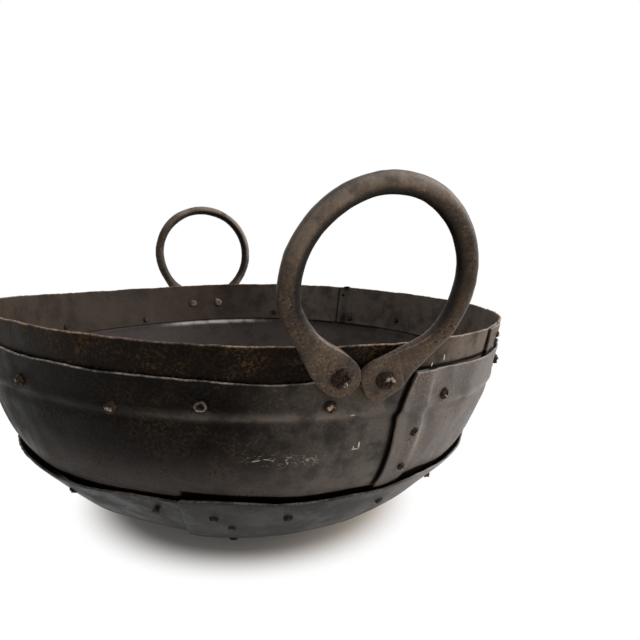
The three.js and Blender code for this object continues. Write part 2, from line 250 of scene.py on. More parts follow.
def solid(name, points, quads, **marks):
    """A mesh of points and four-sided faces. A face with two corners on one point becomes a triangle, points that no
    face uses are left out, and all faces are turned over if the signed volume comes out negative. Each mark is stored
    as one number for every point, for the material to read."""
    a, b, c, d = (points[quads[:, k]] for k in range(4))
    volume = np.einsum("ij,ij->", a, np.cross(b, c)) + np.einsum("ij,ij->", a, np.cross(c, d))
    if volume < 0:
        quads = quads[:, ::-1]
    kept, quads = np.unique(quads, return_inverse=True)
    quads = quads.reshape(-1, 4)
    same = quads == np.roll(quads, -1, axis=1)
    faces = quads[~same.any(1)].tolist()
    for k in range(4):
        faces += np.delete(quads[same[:, k] & (same.sum(1) == 1)], k, axis=1).tolist()
    mesh = bpy.data.meshes.new(name)
    mesh.from_pydata(points[kept].tolist(), [], faces)
    mesh.polygons.foreach_set("use_smooth", [True] * len(mesh.polygons))
    for word, values in marks.items():
        mesh.attributes.new(word, "FLOAT", "POINT").data.foreach_set("value", values[kept].astype(np.float32))
    piece = bpy.data.objects.new(name, mesh)
    bpy.context.scene.collection.objects.link(piece)
    return piece


def outward(azimuth, down):
    """Unit normals of the wall, by the difference of two lifts."""
    way = on_wall(azimuth, down, 0.001) - on_wall(azimuth, down, 0.0)
    return way / np.linalg.norm(way, axis=-1, keepdims=True)


BAND_RIVETS = (
    (232.3, 0.0515), (246.1, 0.044), (264.8, 0.045), (287.6, 0.048), (313.2, 0.038), (320.5, 0.050), (343.0, 0.046),
    (18.8, 0.042), (37.5, 0.049), (66.0, 0.047), (111.3, 0.050), (141.0, 0.046), (174.0, 0.045), (193.0, 0.047),
    (213.0, 0.046),
)
BAND_DENTS = (
    ((291.5, 0.014), (1.1, 0.013), 0.0006), ((297.0, 0.012), (1.3, 0.012), 0.0005),
    ((284.5, 0.012), (1.6, 0.011), 0.0004), ((246.0, 0.015), (3.0, 0.009), 0.0005),
    ((236.0, 0.010), (1.6, 0.012), 0.0005),
)
RIM_CHIPS = ((0.00024, 0.045), (0.00015, 0.011))
CHIP_FADE = 0.006
SPRUNG_RIM, SPRUNG_FADE = (0.00025, 0.03), 0.02
EDGE_LEAN_FADE = 1.5
RIVET_DIMPLE = 0.0005
RIM_BUMP, BUMP_HALF, BUMP_HEIGHT, BUMP_FADE = 40.1, 1.1, 0.0019, 0.004
BARE_EDGE_FROM_BUMP = 1.6
# Painted light: the hoop is paler on its right side, outside and in; where that begins and how far round it fades.
LIT_SIDE_AT, LIT_SIDE_RISE = 300, (-24, -8)
LIT_SIDE, LIT_SIDE_FALL = 0.40, (70, 120)
LIT_INSIDE, LIT_INSIDE_FALL = 0.30, (110, 140)
# Painted shade in the gap over the side plates' top edge and beside the laps, outside and in.
TOP_GAP, TOP_GAP_AT, TOP_GAP_RISE = (SIDE_TOP - 0.0012, 0.0019), 278, (-8, 2)
SEAM_GAP, SEAM_GAP_INSIDE = (0.0, 0.35), (HOOP_LAP + 0.25, 0.45)


def hoop_strip(index):
    """One strip: azimuth runs along it and distance down across it. Its top edge wanders by a fraction of a
    millimetre, the free part of the band is dented in places, and a small bump stands on the rim over the lap at the
    back. From the front handle round to the right, outside and in, painted light makes it paler. Painted shade
    darkens the gap over the side plates' edge and the places beside the laps, and inside, just below the bump, with a
    dark patch at the band's foot under it. The grid is closer where the gaps and the bump are, so that they come out
    sharp."""
    start, end = sheet_ends(HOOP_SEAMS, index, HOOP_LAP)
    lap_end = np.arange(-0.9, 1.2, 0.15)
    closer = [start + HOOP_LAP + lap_end, end - HOOP_LAP + lap_end]
    if index == 0:
        closer.append(RIM_BUMP + 360 + np.arange(-1.8, 1.8, 0.2))
    past, across, from_edge = sheet_grid((start, end), math.degrees(1 / RIM_RADIUS), (0.0, HOOP_BOTTOM),
                                         (0.0026, 0.0029), closer, [np.arange(0.0195, 0.0265, 0.0007)])
    azimuth = start + past + HOOP_EDGE_LEAN * across / HOOP_BOTTOM * np.exp(-past / EDGE_LEAN_FADE)
    rim_line = on_wall(azimuth, 0.0, 0.0)
    chips = 0.0003 + layered(rim_line, RIM_CHIPS, 11)
    down = across + np.clip(chips, 0, None) * np.exp(-across / CHIP_FADE)
    lift = hoop_lift(azimuth, down) + lap_step(past, HOOP_LAP) + hammering(azimuth, down)
    halo = near_rivets(azimuth, down, BAND_RIVETS)
    sprung = SPRUNG_RIM[0] * unevenness(rim_line, SPRUNG_RIM[1], 13)
    lift = lift - RIVET_DIMPLE * halo + sprung * np.exp(-across / SPRUNG_FADE)
    for place, size, depth in BAND_DENTS:
        lift = lift + blow(azimuth, down, place, size, depth)
    outer = on_wall(azimuth, down, lift)
    from_bump = past_seam(azimuth, RIM_BUMP)
    bump = stripe(from_bump, 0, BUMP_HALF)
    outer[..., 2] += BUMP_HEIGHT * bump * np.exp(-across / BUMP_FADE) * (index < 2)
    # Painted light on the hoop's right side, outside and in.
    to_right = past_seam(azimuth, LIT_SIDE_AT)
    lit_from = smooth(to_right, *LIT_SIDE_RISE)
    lit_outside = LIT_SIDE * lit_from * (1 - smooth(to_right, *LIT_SIDE_FALL))
    lit_inside = LIT_INSIDE * lit_from * (1 - smooth(to_right, *LIT_INSIDE_FALL))
    # Painted shade: a dark line in the gap over the side plates' top edge, lines beside the laps, and inside, just
    # below the bump, with a dark patch at the band's foot under it.
    gap_opens = smooth(past_seam(azimuth, TOP_GAP_AT), *TOP_GAP_RISE) if index == 2 else 1.0
    next_seam = past_seam(azimuth, HOOP_SEAMS[(index + 1) % 3])
    shade_and_darkening = gap_opens * stripe(down, *TOP_GAP) + bell(next_seam, *SEAM_GAP)
    under_bump = bump * (0.25 + 0.7 * bell(across, 0, 0.006) + 0.6 * bell(across, 0.05, 0.008))
    shade_inside = under_bump * (index == 0) + bell(past, *SEAM_GAP_INSIDE)
    edge = worn(across) * (1 - stripe(from_bump, 0, BARE_EDGE_FROM_BUMP))
    marks = dict(edge=edge, halo=halo, scuff=0 * halo, sheen_and_wear=(lit_outside, lit_inside), shade_and_darkening=(shade_and_darkening, shade_inside))
    return sheet_solid(f"rim_strip_{index + 1:02d}_sheet", outer, outward(azimuth, down), from_edge, **marks)


class Graph:
    """The shader nodes of a material or of the world. An input is given a plain value or another node's output."""

    def __init__(self, owner):
        owner.use_nodes = True
        self.nodes, self.links = owner.node_tree.nodes, owner.node_tree.links

    def feed(self, node, inputs):
        """Give a node its inputs, each by its name or its number."""
        for slot, value in inputs.items():
            if isinstance(value, bpy.types.NodeSocket):
                self.links.new(value, node.inputs[slot])
            else:
                node.inputs[slot].default_value = value

    def add(self, kind, inputs=None, **settings):
        """A new node with its settings and inputs. Gives its outputs."""
        node = self.nodes.new("ShaderNode" + kind)
        for word, value in settings.items():
            setattr(node, word, value)
        self.feed(node, inputs or {})
        return node.outputs

    def noise(self, place, scale, detail=3.0, rough=0.55, stretch=(1, 1, 1)):
        """Noise of so many cells in a metre, squeezed along x, y and z."""
        squeezed = self.add("Mapping", {"Vector": place, "Scale": stretch})["Vector"]
        inputs = {"Vector": squeezed, "Scale": scale, "Detail": detail, "Roughness": rough}
        return self.add("TexNoise", inputs)["Fac"]

    def ranged(self, value, low, high, to_low=0.0, to_high=1.0):
        """Ease from one number to another as the value goes from low to high."""
        inputs = {"Value": value, "From Min": low, "From Max": high, "To Min": to_low, "To Max": to_high}
        return self.add("MapRange", inputs, interpolation_type="SMOOTHSTEP")["Result"]

    def mixed(self, share, first, second):
        """A colour between two, each a tuple or an output."""
        first, second = (colour if isinstance(colour, bpy.types.NodeSocket) else (*colour, 1)
                         for colour in (first, second))
        return self.add("Mix", {"Factor": share, 6: first, 7: second}, data_type="RGBA")[2]

    def combined(self, first, second, how="MULTIPLY"):
        """Two numbers, multiplied or worked out as how says."""
        return self.add("Math", {0: first, 1: second}, operation=how)[0]

    def marked(self, word):
        """A mark that is stored on the mesh."""
        return self.add("Attribute", attribute_name=word)["Fac"]

    def vector(self, first, how, second=(0, 0, 0)):
        """A vector worked out with another, as how says. Gives the outputs, a vector and a number."""
        return self.add("VectorMath", {0: first, 1: second}, operation=how)


# Noises of the iron: cells in a metre, detail, roughness, and the squeeze along x, y and z.
CLOUD, MOTTLE, SPECKS, GRAINS = (6.5, 2.0), (42, 6.0, 0.65), (430, 3.0, 0.6), (760, 2.0, 0.6)
STROKES, RUNS = (105, 2.0, 0.5, (1, 1, 1.6)), (26, 4.0, 0.6, (1, 1, 0.16))
LOW_WALL = (0.100, 0.148)
SCRATCH_TONE, SHADE_AND_DARK_TONE, NICK_TONE = (0.55, 0.52, 0.48), (0.0030, 0.0024, 0.0020), (0.62, 0.59, 0.55)
NICK_FADE = (0.010, 0.012)
BROAD_BUMP, FINE_BUMP = (0.0010, 0.40), (0.0006, 0.50)


def iron(name, dark, pale, rust, roughness=0.45, ior=1.16, inner=None, low=None, edge_tone=(0.42, 0.27, 0.20),
         sheen_tone=(0.50, 0.455, 0.42), edge_wear=1.0, streak=0.0, speckle=1.0, rusting=1.0, nicks=()):
    """Old sooty, oiled iron. Broad and middling noise mixes the dark and the pale tone. Fine noise sets paler and
    rustier specks and darker pits on it, which crowd where the middling noise is high, round rivets and on outer
    faces. Long upright noise draws pale runs, and hairlines scratch the places marked as scuffed. Places marked with
    painted sheen and highlights, and the handle feet a little, take a pale tone. Painted shade, and the darkening of
    some plates, blackens the places so marked over all that, and marked edges take the edge tone: worn edges, and
    painted glints on rivets and handle corners. Inner faces and the lowest part of a wall can have tones of their
    own; on the side plates the paler lowest part is a painted reflection of the bright floor. A nick is a short
    bright cut in an outer face, given by its middle, its two ways and its length and width."""
    finish = bpy.data.materials.new(name)
    graph = Graph(finish)
    ranged, mixed, combined, marked = graph.ranged, graph.mixed, graph.combined, graph.marked
    place = graph.add("TexCoord")["Object"]
    outside = combined(1.0, marked("inside"), "SUBTRACT")
    cloud, mottle, specks, grains = (graph.noise(place, *size) for size in (CLOUD, MOTTLE, SPECKS, GRAINS))
    tone = combined(combined(combined(cloud, 0.8), combined(mottle, 1.2), "ADD"), 0.5)
    patch = ranged(tone, 0.41, 0.60)
    colour = mixed(patch, dark, pale)
    # On the side plates the paler, greyer low tone is a painted reflection of the bright floor.
    if low:
        height = graph.add("SeparateXYZ", {0: place})["Z"]
        colour = mixed(ranged(height, *LOW_WALL, 1.0, 0.0), colour, mixed(patch, *low))
    if inner:
        colour = mixed(ranged(marked("inside"), 0.4, 0.6), colour, mixed(patch, *inner))
    if streak:
        runs = ranged(graph.noise(place, *RUNS), 0.50, 0.72, 0.0, streak)
        colour = mixed(runs, colour, tuple(2.6 * c for c in pale))
    crowd = combined(ranged(mottle, 0.45, 0.62, 0.20, 1.0), combined(marked("halo"), 0.5), "ADD")
    crowd = combined(crowd, combined(combined(outside, 0.75), 0.25, "ADD"))
    rusty = combined(combined(ranged(specks, 0.51, 0.585), crowd), 0.75 * rusting)
    colour = mixed(rusty, colour, rust)
    pale_specks = combined(ranged(grains, 0.55, 0.66), combined(crowd, 0.70 * speckle))
    colour = mixed(pale_specks, colour, tuple(min(2.9 * c, 0.5) for c in pale))
    dark_pits = combined(ranged(specks, 0.47, 0.39), combined(crowd, 0.75 * speckle))
    colour = mixed(dark_pits, colour, tuple(0.35 * c for c in dark))
    strokes = combined(combined(graph.noise(place, *STROKES), 0.5, "SUBTRACT"), 0.0, "ABSOLUTE")
    hairlines = combined(ranged(strokes, 0.008, 0.024, 0.72, 0.0), ranged(grains, 0.42, 0.52))
    scratched = combined(hairlines, combined(combined(marked("scuff"), 1.0, "MINIMUM"), outside))
    colour = mixed(scratched, colour, SCRATCH_TONE)
    # Painted sheen and highlights, and a little paleness on the handle feet, take the sheen tone.
    colour = mixed(combined(marked("sheen_and_wear"), ranged(mottle, 0.36, 0.56, 0.4, 1.0)), colour, sheen_tone)
    # Painted shade, and the darkening of some plates, blackens the colour where marked.
    colour = mixed(combined(marked("shade_and_darkening"), 1.0, "MINIMUM"), colour, SHADE_AND_DARK_TONE)
    # Worn edges, and painted glints on rivets and handle corners, take the edge tone.
    sheen_and_wear = combined(ranged(marked("edge"), 0.25, 0.80), ranged(mottle, 0.36, 0.60, 0.25 * edge_wear, edge_wear))
    colour = mixed(combined(sheen_and_wear, ranged(specks, 0.42, 0.54, 0.45, 1.0)), colour, edge_tone)
    for middle, ways, sizes in nicks:
        away = graph.vector(place, "SUBTRACT", middle)["Vector"]
        cut = combined(outside, ranged(graph.vector(away, "LENGTH")["Value"], *NICK_FADE, 1.0, 0.0))
        for way, size in zip(ways, sizes):
            beside = combined(graph.vector(away, "DOT_PRODUCT", way)["Value"], 0.0, "ABSOLUTE")
            cut = combined(cut, ranged(beside, 0.22 * size, 0.62 * size, 1.0, 0.0))
        colour = mixed(cut, colour, NICK_TONE)
    rough = ranged(mottle, 0.36, 0.64, roughness - 0.08, roughness + 0.10)
    rough = combined(rough, combined(rusty, 0.25), "ADD")
    grit, normal = combined(specks, combined(grains, 0.4), "ADD"), {}
    for height, (distance, strength) in ((mottle, BROAD_BUMP), (grit, FINE_BUMP)):
        bump = graph.add("Bump", {"Height": height, "Distance": distance, "Strength": strength, **normal})
        normal = {"Normal": bump["Normal"]}
    inputs = {"Base Color": colour, "Roughness": rough, "IOR": ior, **normal}
    graph.feed(graph.nodes["Principled BSDF"], inputs)
    return finish


def nick(azimuth, down, turned, length, width):
    """A nick in the wall at a place, turned from upright by an angle in degrees: its middle, the directions along and
    across it, its length and its width."""
    middle = on_wall(azimuth, down, SHEET)
    across = on_wall(azimuth + 0.2, down, SHEET) - on_wall(azimuth - 0.2, down, SHEET)
    upward = on_wall(azimuth, down - 0.001, SHEET) - on_wall(azimuth, down + 0.001, SHEET)
    across, upward = across / np.linalg.norm(across), upward / np.linalg.norm(upward)
    sine, cosine = math.sin(math.radians(turned)), math.cos(math.radians(turned))
    ways = tuple(cosine * upward + sine * across), tuple(cosine * across - sine * upward)
    return tuple(middle), ways, (length, width)


hoop_iron = iron("hoop_iron", (0.0050, 0.0032, 0.0023), (0.0160, 0.0108, 0.0075), (0.074, 0.046, 0.025), ior=1.12,
                 inner=((0.027, 0.0195, 0.0150), (0.045, 0.0328, 0.0255)), streak=0.10,
                 edge_tone=(0.34, 0.235, 0.175), sheen_tone=(0.29, 0.243, 0.205),
                 nicks=(nick(286.0, 0.017, -12, 0.0055, 0.0012), nick(283.1, 0.021, 6, 0.0035, 0.0011)))
for index in range(3):
    strip = hoop_strip(index)
    strip.data.materials.append(hoop_iron)
    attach(strip, "root")
    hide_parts(f"rim_strip_{index + 1:02d}")

# Side plates
# Three curved plates riveted to the outside of the hoop's lower half, with upright lap seams. They were hammered to
# shape over the hoop's foot, which shows through as a soft ridge, and their raw top edges are bright in places.
SIDE_BOTTOM = 0.177
SIDE_SEAMS = (277.1, 3.0, 138.0)
SIDE_LAP = 5.0
SIDE_EDGE_LEAN = 2.2
SIDE_EDGE_LEAN_FADE = 0.045
SIDE_EDGE_WANDER = 0.16
TUCK_FROM = 0.105
TUCK_TO = 0.180
SEAM_RISE_REACH = 5.0
HOOP_SEAM_FADE = 0.036
DISH_TOP = 0.129
DISH_EDGE = (
    (0, 0.0), (226, 0.0022), (235, 0.0022), (240.6, 0.0024), (241.2, -0.0050), (247, -0.0030), (254, -0.0022),
    (262, 0.0012), (272, 0.0012), (279, 0.0045), (288, -0.0022), (295, 0.0012), (302, 0.0060), (308, 0.0035),
    (318, 0.0), (360, 0.0),
)
DISH_RIVETS = (
    (235.1, 0.151), (246.3, 0.156), (260.8, 0.156), (282.6, 0.160), (302.0, 0.160), (322.0, 0.157), (344.0, 0.155),
    (6.0, 0.158), (29.0, 0.155), (52.0, 0.157), (81.0, 0.157), (100.0, 0.155), (141.0, 0.157), (165.0, 0.155),
    (189.0, 0.157), (213.0, 0.155),
)
SEAM_RIVET_INSET = 4.4
SEAM_RIVETS = tuple((seam + SEAM_RIVET_INSET, down) for seam in SIDE_SEAMS for down in (0.075, 0.110))
SIDE_DENTS = (
    ((281.6, 0.068), (0.7, 0.028), -0.0005), ((284.8, 0.085), (1.6, 0.030), 0.0006),
    ((288.5, 0.090), (1.2, 0.022), -0.0004), ((293.0, 0.078), (1.4, 0.030), 0.0005),
    ((270.0, 0.076), (2.4, 0.007), -0.0006), ((264.0, 0.072), (3.0, 0.006), 0.0004),
    ((256.0, 0.088), (4.0, 0.008), 0.0003), ((240.0, 0.085), (3.0, 0.012), 0.0004),
    ((300.0, 0.105), (1.5, 0.020), 0.0004),
)


def tuck(down):
    """The side plates draw in by two layers to pass under the bottom plates."""
    return 2 * LAYER * smooth(down, TUCK_FROM, TUCK_TO)


def hoop_seam_rise(azimuth, down):
    """The rise over the hoop's own seams, one layer high, fading out below the hoop."""
    rise = 0.0
    for seam in HOOP_SEAMS:
        past = past_seam(azimuth, seam)
        outside = np.maximum(np.maximum(-past, past - HOOP_LAP), 0)
        rise = np.maximum(rise, LAYER * (1 - np.clip(outside / SEAM_RISE_REACH - 1, 0, 1)))
    return rise * (1 - smooth(down, HOOP_BOTTOM, HOOP_BOTTOM + HOOP_SEAM_FADE))


def side_lift(azimuth, down):
    """Outer face of the side plates off the wall's line, without their own lap."""
    over_hoop = np.maximum(LAYER * (1 - down / HOOP_BOTTOM), 0)
    return over_hoop + hoop_seam_rise(azimuth, down) - tuck(down)


def round_bowl(azimuth, table):
    """A value that changes round the bowl, in straight runs from one azimuth of the table to the next."""
    places, values = zip(*table)
    return np.interp(np.asarray(azimuth) % 360, places, values)


FOOT_LINE = ((0, 0.058), (240, 0.055), (255, 0.055), (277, 0.0565), (295, 0.062), (311, 0.059), (360, 0.058))
RIDGE_STRONGEST = 250
BULGE, DROP = 0.0009, 0.0014


def hoop_foot_ridge(azimuth, down):
    """The ridge over the hoop's foot: the plate bulges out a little just above it and drops in just below."""
    foot = round_bowl(azimuth, FOOT_LINE)
    strength = 0.65 + 0.35 * np.cos(np.radians(past_seam(azimuth, RIDGE_STRONGEST)))
    return strength * (BULGE * bell(down, foot - 0.004, 0.0042) - DROP * bell(down, foot + 0.0035, 0.0045))


def seam_edge(start, down):
    """The azimuth of a side plate's first edge at a distance down: it leans over at the top and wanders a little."""
    lean = SIDE_EDGE_LEAN * np.maximum(1 - (down - SIDE_TOP) / SIDE_EDGE_LEAN_FADE, 0) ** 2
    return start + lean + SIDE_EDGE_WANDER * unevenness(on_wall(start + 0 * down, down, 0.0), 0.05, 21)


def dish_edge(azimuth):
    """How far the bottom plates' top edge runs above or below its own line, by azimuth, as it was cut by hand."""
    return round_bowl(azimuth, DISH_EDGE)


SIDE_MEAN_RADIUS = 0.262
TOP_SAG, TOP_SAG_AT, TOP_SAG_HALF = 0.0028, 256, 9
TOP_WANDER = ((0.00035, 0.06), (0.00012, 0.012))
TOP_WANDER_FADE = 0.012
SIDE_DIMPLE = 0.0006
RUST_SPOTS = ((236.5, 0.061), (240.0, 0.060), (238.0, 0.085), (243.0, 0.080))
RUST_SPOT_SIZE = 0.008
# Real scratches, and the place of a painted glint inside the back plate.
SCRATCHES, REAR_GLINT = ((259.0, 0.0885), (6.0, 0.0045)), ((86.5, 0.0615), (15, 0.0026))
# Painted highlights along the ridge on the front plate and on the right plate.
FRONT_RIDGE_SHEEN, RIGHT_RIDGE = ((254, 0.0525), (17, 0.0032)), ((301, 0.0547), (9, 0.0018))
RIGHT_RIDGE_SAG_AT, RIGHT_RIDGE_SAG = 300, 0.00002
# A painted highlight along the crease beside the lap.
CREASE = (SIDE_LAP + 1.0, 0.35)
# Painted shade in the gap over the bottom plates and beside the next plate's edge.
UNDER_DISH = (-0.0028, -0.0014)
SIDE_GAP = (-0.30, 0.70)
# Painted shade on the front plate's left end, stronger near its top, and how much darker the right plate's lap is.
LEFT_SHADE_AT, LEFT_SHADE_FADE, LEFT_SHADE, LEFT_SHADE_HIGH = 240, (-6, 14), 0.20, 0.25
LAP_DARKER = 0.14


def long_mark(azimuth, down, mark):
    """A long mark on the wall, given by its place and its half sizes: a stripe along it, a bell curve across it."""
    place, size = mark
    return stripe(past_seam(azimuth, place[0]), 0, size[0]) * bell(down, place[1], size[1])


def side_plate(index):
    """One plate: azimuth along it, distance down across it. The first edge leans and stands slightly proud, the top
    edge sags a little left of the front handle, and a soft ridge runs over the hoop's foot. Painted highlights run
    along the crease beside the lap and along the ridges, a faint painted sheen lies over the right plate and the
    front plate's right end, and a painted glint runs inside the back, with faint painted light inside its right part.
    Painted shade darkens the front plate's left end, the gaps under the bottom plates and beside the next plate's
    edge, where the grid is closer, and the right plate is darker over its lap."""
    start, end = sheet_ends(SIDE_SEAMS, index, SIDE_LAP)
    degree = math.degrees(1 / SIDE_MEAN_RADIUS)
    closer = [np.arange(0.0565, 0.0665, 0.001), np.arange(DISH_TOP - 0.0075, DISH_TOP + 0.0075, 0.0009)]
    past, across, from_edge = sheet_grid((start, end), degree, (SIDE_TOP, SIDE_BOTTOM), (0.0029, 0.0031),
                                         [end - SIDE_LAP + np.arange(-0.9, 2.8, 0.18)], closer)
    first_edge = on_wall(start + 0 * across, across, 0.0)
    azimuth = start + past + (seam_edge(start, across) - start) * np.exp(-past / EDGE_LEAN_FADE)
    top_line = on_wall(azimuth, SIDE_TOP, 0.0)
    droop = TOP_SAG * bell(past_seam(azimuth, TOP_SAG_AT), 0, TOP_SAG_HALF) + layered(top_line, TOP_WANDER, 22)
    down = across + droop * np.exp(-(across - SIDE_TOP) / TOP_WANDER_FADE)
    lift = side_lift(azimuth, down) + lap_step(past, SIDE_LAP) + hammering(azimuth, down)
    halo = near_rivets(azimuth, down, BAND_RIVETS + SEAM_RIVETS)
    lift = lift + hoop_foot_ridge(azimuth, down) - SIDE_DIMPLE * halo
    halo = halo + near_rivets(azimuth, down, RUST_SPOTS, RUST_SPOT_SIZE)
    for place, size, depth in SIDE_DENTS:
        lift = lift + blow(azimuth, down, place, size, depth)
    stand_off = (0.0004 + 0.0003 * unevenness(first_edge, 0.04, 24)) * np.exp(-past / 1.2)
    top_off = (0.0003 + 0.0002 * unevenness(top_line, 0.06, 25)) * np.exp(-(across - SIDE_TOP) / 0.006)
    outer = on_wall(azimuth, down, lift + np.maximum(stand_off, 0) + np.maximum(top_off, 0))
    # Painted highlights and sheen: the crease and a faint sheen on the right plate and its ridge, a glint and faint
    # light inside the back plate, the front plate's ridge and right end.
    on_crease = 0.30 * bell(past, *CREASE) * stripe(down, 0.065, 0.035) + 0.06
    sagging = down - RIGHT_RIDGE_SAG * past_seam(azimuth, RIGHT_RIDGE_SAG_AT) ** 2
    right_ridge = 0.34 * long_mark(azimuth, sagging, RIGHT_RIDGE)
    rear_glint = 1.4 * long_mark(azimuth, down, REAR_GLINT) + 0.06 * (1 - smooth(azimuth, 50, 80))
    on_ridge = 0.20 * long_mark(azimuth, down, FRONT_RIDGE_SHEEN)
    on_ridge = on_ridge + 0.175 * smooth(past_seam(azimuth, 277), -30, -5)
    sheen_and_wear = (on_crease + right_ridge, (0 * past, rear_glint), on_ridge)[index]
    # Painted shade in the gap over the bottom plates, beside the next plate's edge and on the front plate's left end;
    # the right plate's lap is darker.
    under_dish = smooth(down - DISH_TOP - dish_edge(azimuth), *UNDER_DISH)
    next_edge = seam_edge(end - SIDE_LAP, down)
    beside_seam = stripe(past_seam(azimuth, next_edge), *SIDE_GAP) * (down < DISH_TOP)
    dim_end = (1 - smooth(past_seam(azimuth, LEFT_SHADE_AT), *LEFT_SHADE_FADE)) * (index == 2)
    darker_ends = dim_end * (LEFT_SHADE + LEFT_SHADE_HIGH * (1 - smooth(down, 0.048, 0.060)))
    darker_ends = darker_ends + LAP_DARKER * (1 - smooth(past, SIDE_LAP - 0.6, SIDE_LAP + 0.6)) * (index == 0)
    shade_and_darkening = np.maximum(np.maximum(under_dish, beside_seam), darker_ends), 0 * past
    edge = worn(across - SIDE_TOP) * (1 - smooth(past_seam(azimuth, 264), -3, 3) * (index == 2))
    edge = np.maximum(edge, worn(past / degree) * (1 - smooth(down, 0.045, 0.075)))
    scuff = long_mark(azimuth, down, SCRATCHES)
    marks = dict(edge=edge, halo=halo, scuff=scuff, sheen_and_wear=sheen_and_wear, shade_and_darkening=shade_and_darkening)
    return sheet_solid(f"side_plate_{index + 1:02d}_sheet", outer, outward(azimuth, down), from_edge, **marks)


SIDE_NICKS = (
    nick(270.75, 0.0796, -6, 0.0064, 0.0014), nick(270.20, 0.0832, 92, 0.0060, 0.0010),
    nick(269.85, 0.0815, -6, 0.0030, 0.0009), nick(268.6, 0.0530, 80, 0.0035, 0.0009),
    nick(254.1, 0.0884, 78, 0.0060, 0.0007), nick(255.7, 0.0872, 96, 0.0050, 0.0006),
)
# Painted light and shade: one iron in three tones, palest on the right plate, which faces the light, darker on the
# back one and darkest on the front left one.
SIDE_LIT_AND_SHADED = (
    dict(tones=((0.058, 0.0500, 0.0462), (0.110, 0.0960, 0.0890)), edge_wear=0.2, streak=0.35, speckle=0.85,
         rusting=0.8, ior=1.26),
    dict(tones=((0.011, 0.0092, 0.0078), (0.032, 0.0275, 0.0240)), edge_wear=0.6, streak=0.12),
    dict(tones=((0.0042, 0.0034, 0.0028), (0.0140, 0.0117, 0.0103)), edge_wear=0.9, streak=0.05, ior=1.11,
         speckle=0.8, rusting=0.72, sheen_tone=(0.49, 0.462, 0.445), nicks=SIDE_NICKS),
)
SIDE_RUST, SIDE_EDGE_TONE = (0.066, 0.044, 0.027), (0.52, 0.46, 0.41)
SIDE_INNER = ((0.029, 0.0230, 0.0207), (0.049, 0.0398, 0.0362))
# The paler, greyer low tone of the back and front plates is a painted reflection of the bright floor.
SIDE_LOW_REFLECTION = ((0.059, 0.0558, 0.0565), (0.102, 0.0965, 0.0975))
for index, finish in enumerate(SIDE_LIT_AND_SHADED):
    plate = side_plate(index)
    tones = finish.pop("tones")
    side_iron = iron(f"side_iron_{index + 1}", *tones, SIDE_RUST, inner=SIDE_INNER, low=SIDE_LOW_REFLECTION if index else None,
                     edge_tone=SIDE_EDGE_TONE, **finish)
    plate.data.materials.append(side_iron)
    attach(plate, "root")
    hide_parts(f"side_plate_{index + 1:02d}")

# Bottom plates
# Two dished plates riveted on outside the side plates. One tucks under the other along a straight seam, and their
# torn-looking top edge stands off the side plates, so that a dark gap shows all round.
DISH_SEAM_OFFSET = -0.0538
DISH_SEAM_TURN = -16.2
DISH_LAP = 0.050
DISH_FLARE, DISH_FLARE_FADE = 0.0008, 0.020
DISH_WANDER = ((0.0005, 0.04), (0.00025, 0.012))
DISH_WANDER_FADE = 0.014
SET_IN = (-0.080, -0.040)
SEAM_STEP = 0.004
DISH_SPRUNG, DISH_SPRUNG_WAVE, DISH_SPRUNG_FADE = 0.0007, (0.0006, 0.09), 0.010
CLOSE_AT, CLOSE_HALF, CLOSE_SHARE = 308, 24, 0.8
DISH_DIMPLE = 0.0006
LIT_END, LIT_AT, LIT_HALF = 0.45, 306, 22
# Painted shade along the seam, and how much darker the whole inner plate is.
DISH_SEAM_GAP, INNER_PLATE_DARKER = (-0.0020, 0.0026), 0.34


def dish_lift(down):
    """Outer face of the bottom plates off the wall's line: two layers out at the edge, none on the flat."""
    return 2 * LAYER - tuck(down) + DISH_FLARE * (1 - smooth(down, DISH_TOP, DISH_TOP + DISH_FLARE_FADE))


def plan_to_wall(x, y):
    """Azimuth and distance down of the wall's points over a plan position, given in the seam's own turned frame."""
    azimuth = np.degrees(np.arctan2(y, x)) + DISH_SEAM_TURN
    return azimuth, np.interp(-np.hypot(x, y), -SECTION_RADIUS, SECTION_DOWN)


def wall_map(azimuth, down):
    """The wall flattened: distance out from the bottom's centre along the surface, at its azimuth, as x and y."""
    out = AXIS_DOWN - down
    return np.stack([out * np.cos(np.radians(azimuth)), out * np.sin(np.radians(azimuth))], -1)


